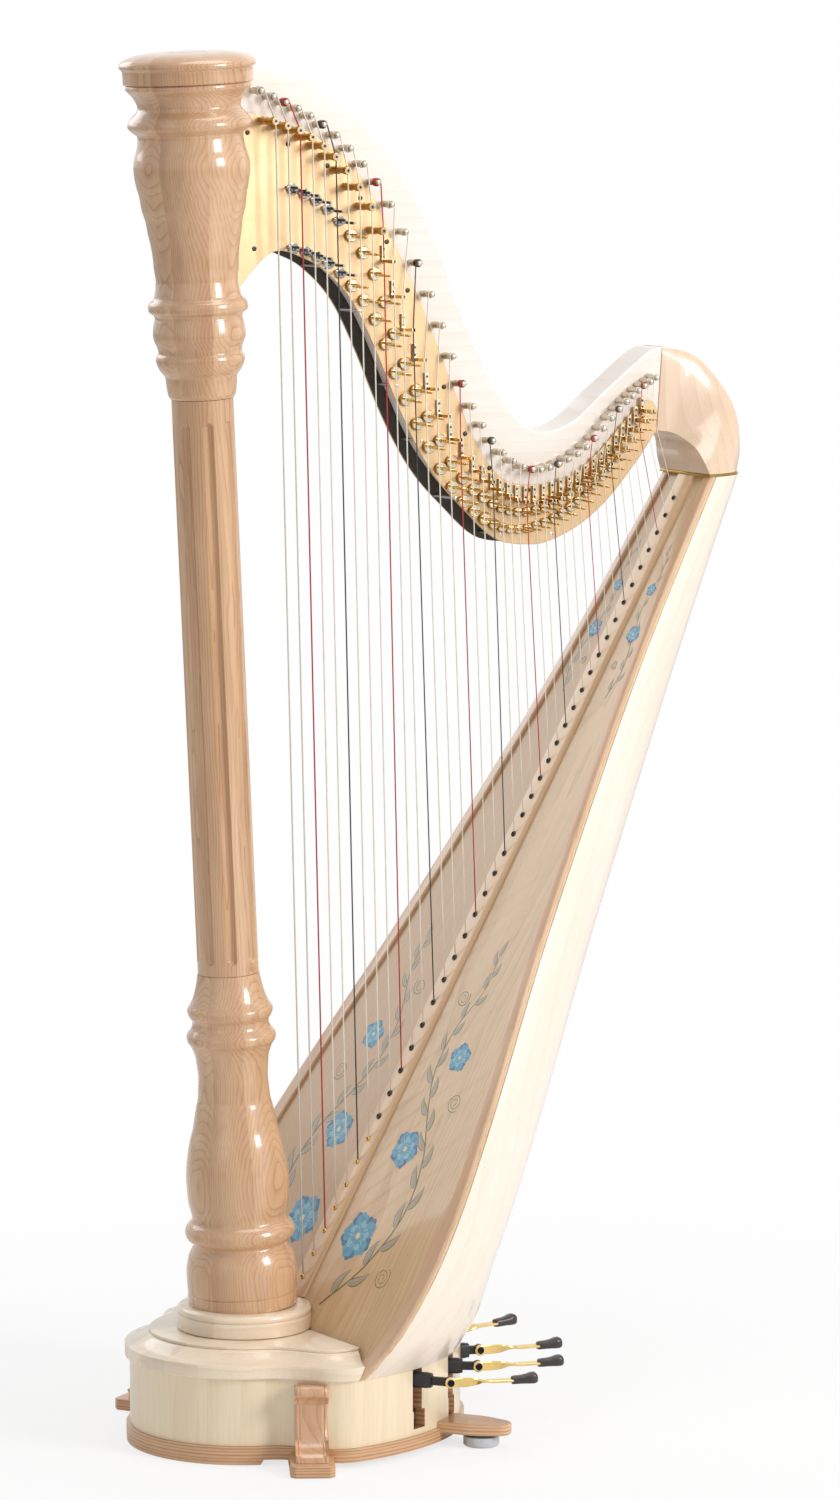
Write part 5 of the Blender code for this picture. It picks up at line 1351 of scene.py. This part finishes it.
def build_nuts():
    """Nuts with their slabs on the plate: 0 brass, 1 screws, 2 the faces in front, in a paler brass that
    paints on their highlight.
    """
    nuts = bmesh.new()
    for number in range(BRIDGE_PINS + 1, STRING_COUNT + 1):
        top = nut_point(number)
        long = 21 * MM if number <= LAST_LONG_NUT else 18 * MM
        x = top.x - 1 * MM
        low = top.z - 2 * MM
        nut = nut_block(number)
        join(nut, block((x, PLATE_NEAR - 1.6 * MM, low + long / 2), (NUT_BACK_WIDTH, NUT_BACK_THICK, long)))
        mark_front(nut, 2)
        for share in NUT_SCREW_SHARES:
            spot = Vector((x, PLATE_NEAR - 3.2 * MM, low + long * share))
            stack(nut, spot, ((1.5 * MM, 0, 0.6 * MM, 12, 0, 1),))
        join(nuts, nut)
    piece("string_nuts", nuts, [M_GOLD, M_SCREW, M_BRASS_PAINTED_SHEEN],
          bevel=0.4 * MM)


def mark_front(maker, index):
    """Give the faces that look towards the strings a material of their own."""
    maker.normal_update()
    for face in maker.faces:
        if face.normal.y < -0.8:
            face.material_index = index


def disc_set(middle, radius, down, chrome):
    """Disc with a hub screw and two prongs: 0 disc, 1 dark, 2 prong tip, 3 disc face in a paler brass, a
    painted highlight.
    """
    near = PLATE_NEAR - DISC_OFF
    face = near - DISC_THICK
    prong = min(PRONG_RADIUS, radius * 0.18)
    reach = radius - prong - 0.3 * MM
    turn = math.atan2(down.z, down.x) + PRONG_TURN
    front = Vector((middle.x, face, middle.z))
    edge = min(0.9 * MM, radius * 0.14)
    size = radius * (0.8 if chrome else 1.0)
    maker = turned([
        (0, size - edge), (edge, size), (DISC_THICK - edge, size), (DISC_THICK, size - edge)], 32,
        (middle.x, near, middle.z), front)
    bar = block((0, 0, 0), (2 * radius, DISC_THICK * 0.8, prong * 2.6))
    spin = Matrix.Rotation(-turn, 4, "Y")
    join(maker, bar, Matrix.Translation((middle.x, (face + near) / 2, middle.z)) @ spin)
    mark_front(maker, 3)
    hub = radius * 0.28
    stack(maker, front, ((hub, -0.2 * MM, 0.7 * MM, 24, 0.25 * MM, 0),
                         (hub * 0.62, 0.6 * MM, 0.85 * MM, 20, 0, 1),
                         (hub * 0.3, 0.8 * MM, 0.95 * MM, 12, 0, 2)))
    for way in (1, -1):
        x = middle.x + way * reach * math.cos(turn)
        z = middle.z + way * reach * math.sin(turn)
        root = Vector((x, face + 1 * MM, z))
        long = root.y + PRONG_PAST
        if chrome:
            rows = ((prong * 0.9, 0, long, 14, 0.2 * MM, 2),
                    (prong * 1.15, 0.22 * long, 0.93 * long, 14, 0.2 * MM, 1))
        else:
            rows = ((prong, 0, long, 14, 0.35 * MM, 0),
                    (prong * 1.12, 0.05 * long, 0.2 * long, 14, 0.1 * MM, 0))
        stack(maker, root, rows)
    return maker


def build_discs():
    fixed = bmesh.new()
    silver = bmesh.new()
    for number in range(FIRST_DISC, STRING_COUNT + 1):
        natural, sharp, radius, down = disc_points(number)
        for kind, middle in (("natural", natural), ("sharp", sharp)):
            chrome = number <= LAST_CHROME
            made = disc_set(middle, radius, down, chrome)
            if FIRST_MOVING <= number < FIRST_MOVING + len(NOTES):
                note = NOTES[number - FIRST_MOVING]
                piece(f"{kind}_fork_{note}", made, DISC_LOOK, f"{kind}_disc_{note}", f"{kind}_{note}")
            else:
                join(silver if chrome else fixed, made)
    piece("discs_gold", fixed, DISC_LOOK)
    piece("discs_silver", silver, BASS_DISC_LOOK)


def shoulder_ring(values, sides=56):
    inner_x, inner_z, outer_x, outer_z, near, far, roundness = values
    inner = Vector((inner_x, 0, inner_z)) * MM
    outer = Vector((outer_x, 0, outer_z)) * MM
    middle = (near + far) / 2 * MM
    half = (far - near) / 2 * MM
    points = []
    for k in range(sides + 1):
        angle = math.pi * k / sides
        c = math.cos(angle)
        s = max(math.sin(angle), 0.0)
        across = math.copysign(abs(c) ** roundness, c)
        point = inner + (outer - inner) * s ** roundness
        points.append((point.x, middle - half * across, point.z))
    return points


def build_shoulder():
    rows = [(k, *row) for k, row in enumerate(SHOULDER_SECTIONS)]
    steps = 8
    rings = [shoulder_ring([value / MM for value in curve_value(rows, k / steps)])
             for k in range((len(rows) - 1) * steps + 1)]
    piece("shoulder_block", loft(rings), M_SHOULDER, "shoulder", smooth=40)
    foot = shoulder_ring(SHOULDER_SECTIONS[-1])
    middle_x = sum(x for x, _, _ in foot) / len(foot)
    outline = []
    for x, y, _ in foot:
        spread = BAND_PAST_BACK if x > middle_x else BAND_PAST_FRONT
        outline.append((x + math.copysign(spread, x - middle_x), y + math.copysign(spread, y)))
    low = BODY_HIGH + SEAT
    band = prism(outline, low, low + BAND_HIGH - 2 * SEAT)
    piece("band_brass", band, M_GOLD, "shoulder_band", bevel=0.6 * MM)


# Pedals

def build_levers():
    half = LEVER_THICK / 2
    bolt_out = KNUCKLE_HALF + SEAT + ARM_THICK + BOLT_HEAD
    bolt_line = [
        (0, BOLT_RADIUS), (bolt_out - BOLT_HEAD, BOLT_RADIUS), (bolt_out - BOLT_HEAD, BOLT_HEAD_RADIUS),
        (bolt_out - 0.5 * MM, BOLT_HEAD_RADIUS), (bolt_out, BOLT_HEAD_RADIUS - 0.6 * MM),
        (bolt_out, 2 * MM), (bolt_out - 0.8 * MM, 1.8 * MM), (bolt_out - 0.8 * MM, 0)]
    for pedal in PEDALS:
        name, _, arm, reach = pedal
        way = lever_way(pedal)
        side = Vector((-way.y, way.x, 0))
        fulcrum = way * FULCRUM_CIRCLE + Vector((0, 0, LEVER_Z))
        pivot = fold_point(pedal)
        run = pivot.xy.length
        bar = block(way * (LEVER_START + run) / 2 + Vector((0, 0, LEVER_Z)),
                    (run - LEVER_START, LEVER_THICK, LEVER_HIGH), math.atan2(way.y, way.x))
        join(bar, rod(EYE_RADIUS, fulcrum - side * half, fulcrum + side * half, 32, 0.4 * MM))
        knuckle = math.radians(arm)
        outward = Vector((math.sin(knuckle), -math.cos(knuckle), 0)) * outer_side(pedal)
        join(bar, rod(FOLD_RADIUS, pivot - outward * KNUCKLE_HALF, pivot + outward * KNUCKLE_HALF, 32,
                      0.5 * MM))
        start = wall_point(pedal) - way * SLEEVE_IN
        length = (SLEEVE_IN + reach * MM * SLEEVE_SHARE) / MM
        rings = []
        for step, size in ((0, 0.86), (0.8, 0.97), (2, 1.0), (length - 5, 1.0), (length - 4.5, 0.94),
                           (length - 1.2, 0.94), (length - 0.3, 0.88), (length, 0.78)):
            rings.append([
                start + way * step * MM + side * (off * SLEEVE_THICK / 2 * size)
                + Vector((0, 0, up * SLEEVE_HIGH / 2 * size)) for off, up in rounded_box(28, 0.55)])
        join(bar, loft(rings))
        piece(f"lever_bar_{name}", bar, M_BLACK, f"pedal_lever_{name}", f"lever_{name}")
        bolt = turned(bolt_line, 28, pivot, pivot + outward)
        piece(f"fold_bolt_{name}", bolt, M_BLUED, body=f"lever_{name}")


def arm_mesh():
    """Folding pedal along +X: eye round the bolt, twisted bar (0) and rubber cap (1)."""
    near = -(KNUCKLE_HALF + SEAT)
    middle = near - ARM_THICK / 2
    rings = []
    steps = 26
    for k in range(steps + 1):
        share = k / steps
        x = 2 * MM + (CAP_START + 4 * MM) * share
        turn = min(max((share - 0.1) / 0.55, 0), 1)
        twist = math.pi / 2 * turn * turn * (3 - 2 * turn)
        wide = ARM_WIDE / 2 * (0.86 + 0.14 * min(share * 3, 1))
        thick = ARM_THICK / 2
        ring = []
        for a, b in ((-1, -0.6), (-0.9, -1), (0.9, -1), (1, -0.6), (1, 0.6), (0.9, 1), (-0.9, 1),
                     (-1, 0.6)):
            z = a * wide
            y = b * thick
            ring.append((x, middle + y * math.cos(twist) - z * math.sin(twist),
                         y * math.sin(twist) + z * math.cos(twist)))
        rings.append(ring)
    body = loft(rings)
    for face in body.faces:
        face.smooth = True
    eye = turned([
        (0, FOLD_RADIUS - 0.4 * MM), (0.4 * MM, FOLD_RADIUS), (ARM_THICK - 0.4 * MM, FOLD_RADIUS),
        (ARM_THICK, FOLD_RADIUS - 0.4 * MM), (ARM_THICK + 0.5 * MM, FOLD_RADIUS - 1.4 * MM),
        (ARM_THICK + 0.5 * MM, 4.6 * MM), (ARM_THICK, 4.5 * MM), (ARM_THICK, 3.4 * MM)], 36,
        (0, near, 0), (0, near - 1, 0))
    join(body, eye)
    rings = []
    for share, wide, high, lift in (
            (0, 0.55, 0.5, 0), (0.02, 0.72, 0.66, 0), (0.1, 0.8, 0.72, 0.2), (0.35, 0.84, 0.74, 0.5),
            (0.55, 0.93, 0.82, 1.0), (0.7, 1.0, 0.96, 1.7), (0.84, 0.98, 1.0, 2.0),
            (0.93, 0.8, 0.85, 1.6), (0.98, 0.5, 0.55, 1.0), (1.0, 0.12, 0.15, 0.8)):
        x = CAP_START + (ARM_LENGTH - CAP_START) * share
        rings.append([(x, middle + off * CAP_HALF_WIDTH * wide, up * CAP_HALF_HEIGHT * high + lift * MM)
                      for off, up in rounded_box(28, 0.7)])
    join(body, loft(rings), index=1)
    return body


def build_arms():
    for pedal in PEDALS:
        name, _, arm, _ = pedal
        body = arm_mesh()
        if outer_side(pedal) < 0:
            body = mirrored(body)
        moved(body, Matrix.Translation(fold_point(pedal)) @ Matrix.Rotation(math.radians(arm), 4, "Z"))
        piece(f"pedal_arm_{name}", body, [M_ARM, M_CAP], f"pedal_{name}", f"arm_{name}")


def dress(name, material):
    """Give a node of the CAD that shows its own mesh a material."""
    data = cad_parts[name].data
    data.materials.clear()
    data.materials.append(material)


# Stage

LENS = 150.98
CAMERA_PLACE = (-4.2065, -6.424, 1.8496)
LOOKING_DOWN = math.radians(7.59)
LOOKING_RIGHT = math.radians(-33)
FLOOR_RADIUS = 40
FLOOR_HEIGHT = -0.5 * MM
LAMPS = (  # name, place, target, size in metres, power in watts, share of it in highlights
    ("key", (2.3, -4.9, 2.9), (0, 0, 0.9), (1.6, 2.2), 190, 1.0),
    ("fill", (-4.5, -2.0, 2.4), (0, 0, 0.9), (2.4, 3.0), 8, 0.2),
    ("top", (0.3, -0.4, 4.2), (0, 0, 0), (2.0, 2.0), 42, 0.3),
    ("back", (-1.0, 4.0, 3.0), (0, 0, 0.9), (3.0, 2.0), 34, 1.0),
)


def build_stage():
    """White floor that fades into the background, and an even white world."""
    n = Nodes("floor", 0.6)
    n.shader.inputs["Base Color"].default_value = (0.96, 0.96, 0.96, 1)
    parts = n.parts(n.place())
    fade = n.ramp(n.distance(parts["X"], parts["Y"]), 0.55, 1.5)
    share = n.math("ADD", n.math("MULTIPLY", fade, 0.26), 0.74, clamp=True)
    camera = n.add("LightPath").outputs["Is Camera Ray"]
    share = n.math("MULTIPLY", share, camera)
    glow = n.add("Emission", {"Color": (1, 1, 1, 1), "Strength": 1.0})
    blend = n.add("MixShader", {0: share, 1: n.shader.outputs[0], 2: glow.outputs[0]})
    n.tree.links.new(blend.outputs[0], n.tree.nodes["Material Output"].inputs["Surface"])
    maker = bmesh.new()
    bmesh.ops.create_circle(maker, cap_ends=True, segments=64, radius=FLOOR_RADIUS)
    mesh = finish_mesh(maker)
    mesh.materials.append(n.material)
    floor = bpy.data.objects.new("floor", mesh)
    bpy.context.scene.collection.objects.link(floor)
    floor.location.z = FLOOR_HEIGHT

    world = bpy.data.worlds.new("studio")
    bpy.context.scene.world = world
    world.use_nodes = True
    tree = world.node_tree
    background = tree.nodes["Background"]
    path = tree.nodes.new("ShaderNodeLightPath")
    seen = tree.nodes.new("ShaderNodeMath")
    seen.operation = "MAXIMUM"
    tree.links.new(path.outputs["Is Camera Ray"], seen.inputs[0])
    tree.links.new(path.outputs["Is Glossy Ray"], seen.inputs[1])
    level = tree.nodes.new("ShaderNodeMapRange")
    level.inputs[3].default_value = 0.4
    level.inputs[4].default_value = 1.0
    tree.links.new(seen.outputs[0], level.inputs[0])
    tree.links.new(level.outputs[0], background.inputs["Strength"])
    background.inputs["Color"].default_value = (1, 1, 1, 1)


def add_lamp(name, place, target, size, power, shine):
    data = bpy.data.lights.new(name, "AREA")
    data.shape = "RECTANGLE"
    data.size = size[0]
    data.size_y = size[1]
    data.energy = power
    data.specular_factor = shine
    lamp = bpy.data.objects.new(name, data)
    lamp.location = place
    lamp.rotation_mode = "QUATERNION"
    lamp.rotation_quaternion = (Vector(target) - Vector(place)).to_track_quat("-Z", "Y")
    bpy.context.scene.collection.objects.link(lamp)


def build_camera():
    data = bpy.data.cameras.new("camera")
    data.sensor_width = 36
    data.lens = LENS
    data.clip_end = 200
    camera = bpy.data.objects.new("camera", data)
    camera.location = CAMERA_PLACE
    camera.rotation_euler = (math.pi / 2 - LOOKING_DOWN, 0, LOOKING_RIGHT)
    bpy.context.scene.collection.objects.link(camera)
    bpy.context.scene.camera = camera
    bpy.context.scene.view_settings.view_transform = "Standard"


def main():
    build_stage()
    build_camera()
    for lamp in LAMPS:
        add_lamp(*lamp)
    build_base()
    build_brackets()
    build_rear_feet()
    build_turnings()
    build_shaft()
    build_shell()
    dress("soundboard", M_BOARD)
    build_trims()
    build_rib()
    build_garlands()
    build_grommets()
    build_strings()
    build_neck()
    build_plates()
    build_bridge()
    build_nuts()
    build_discs()
    build_shoulder()
    build_levers()
    build_arms()
    for name in ["pedal_frame"] + [f"pedal_rod_{note}" for note in NOTES]:
        dress(name, M_STEEL)


main()
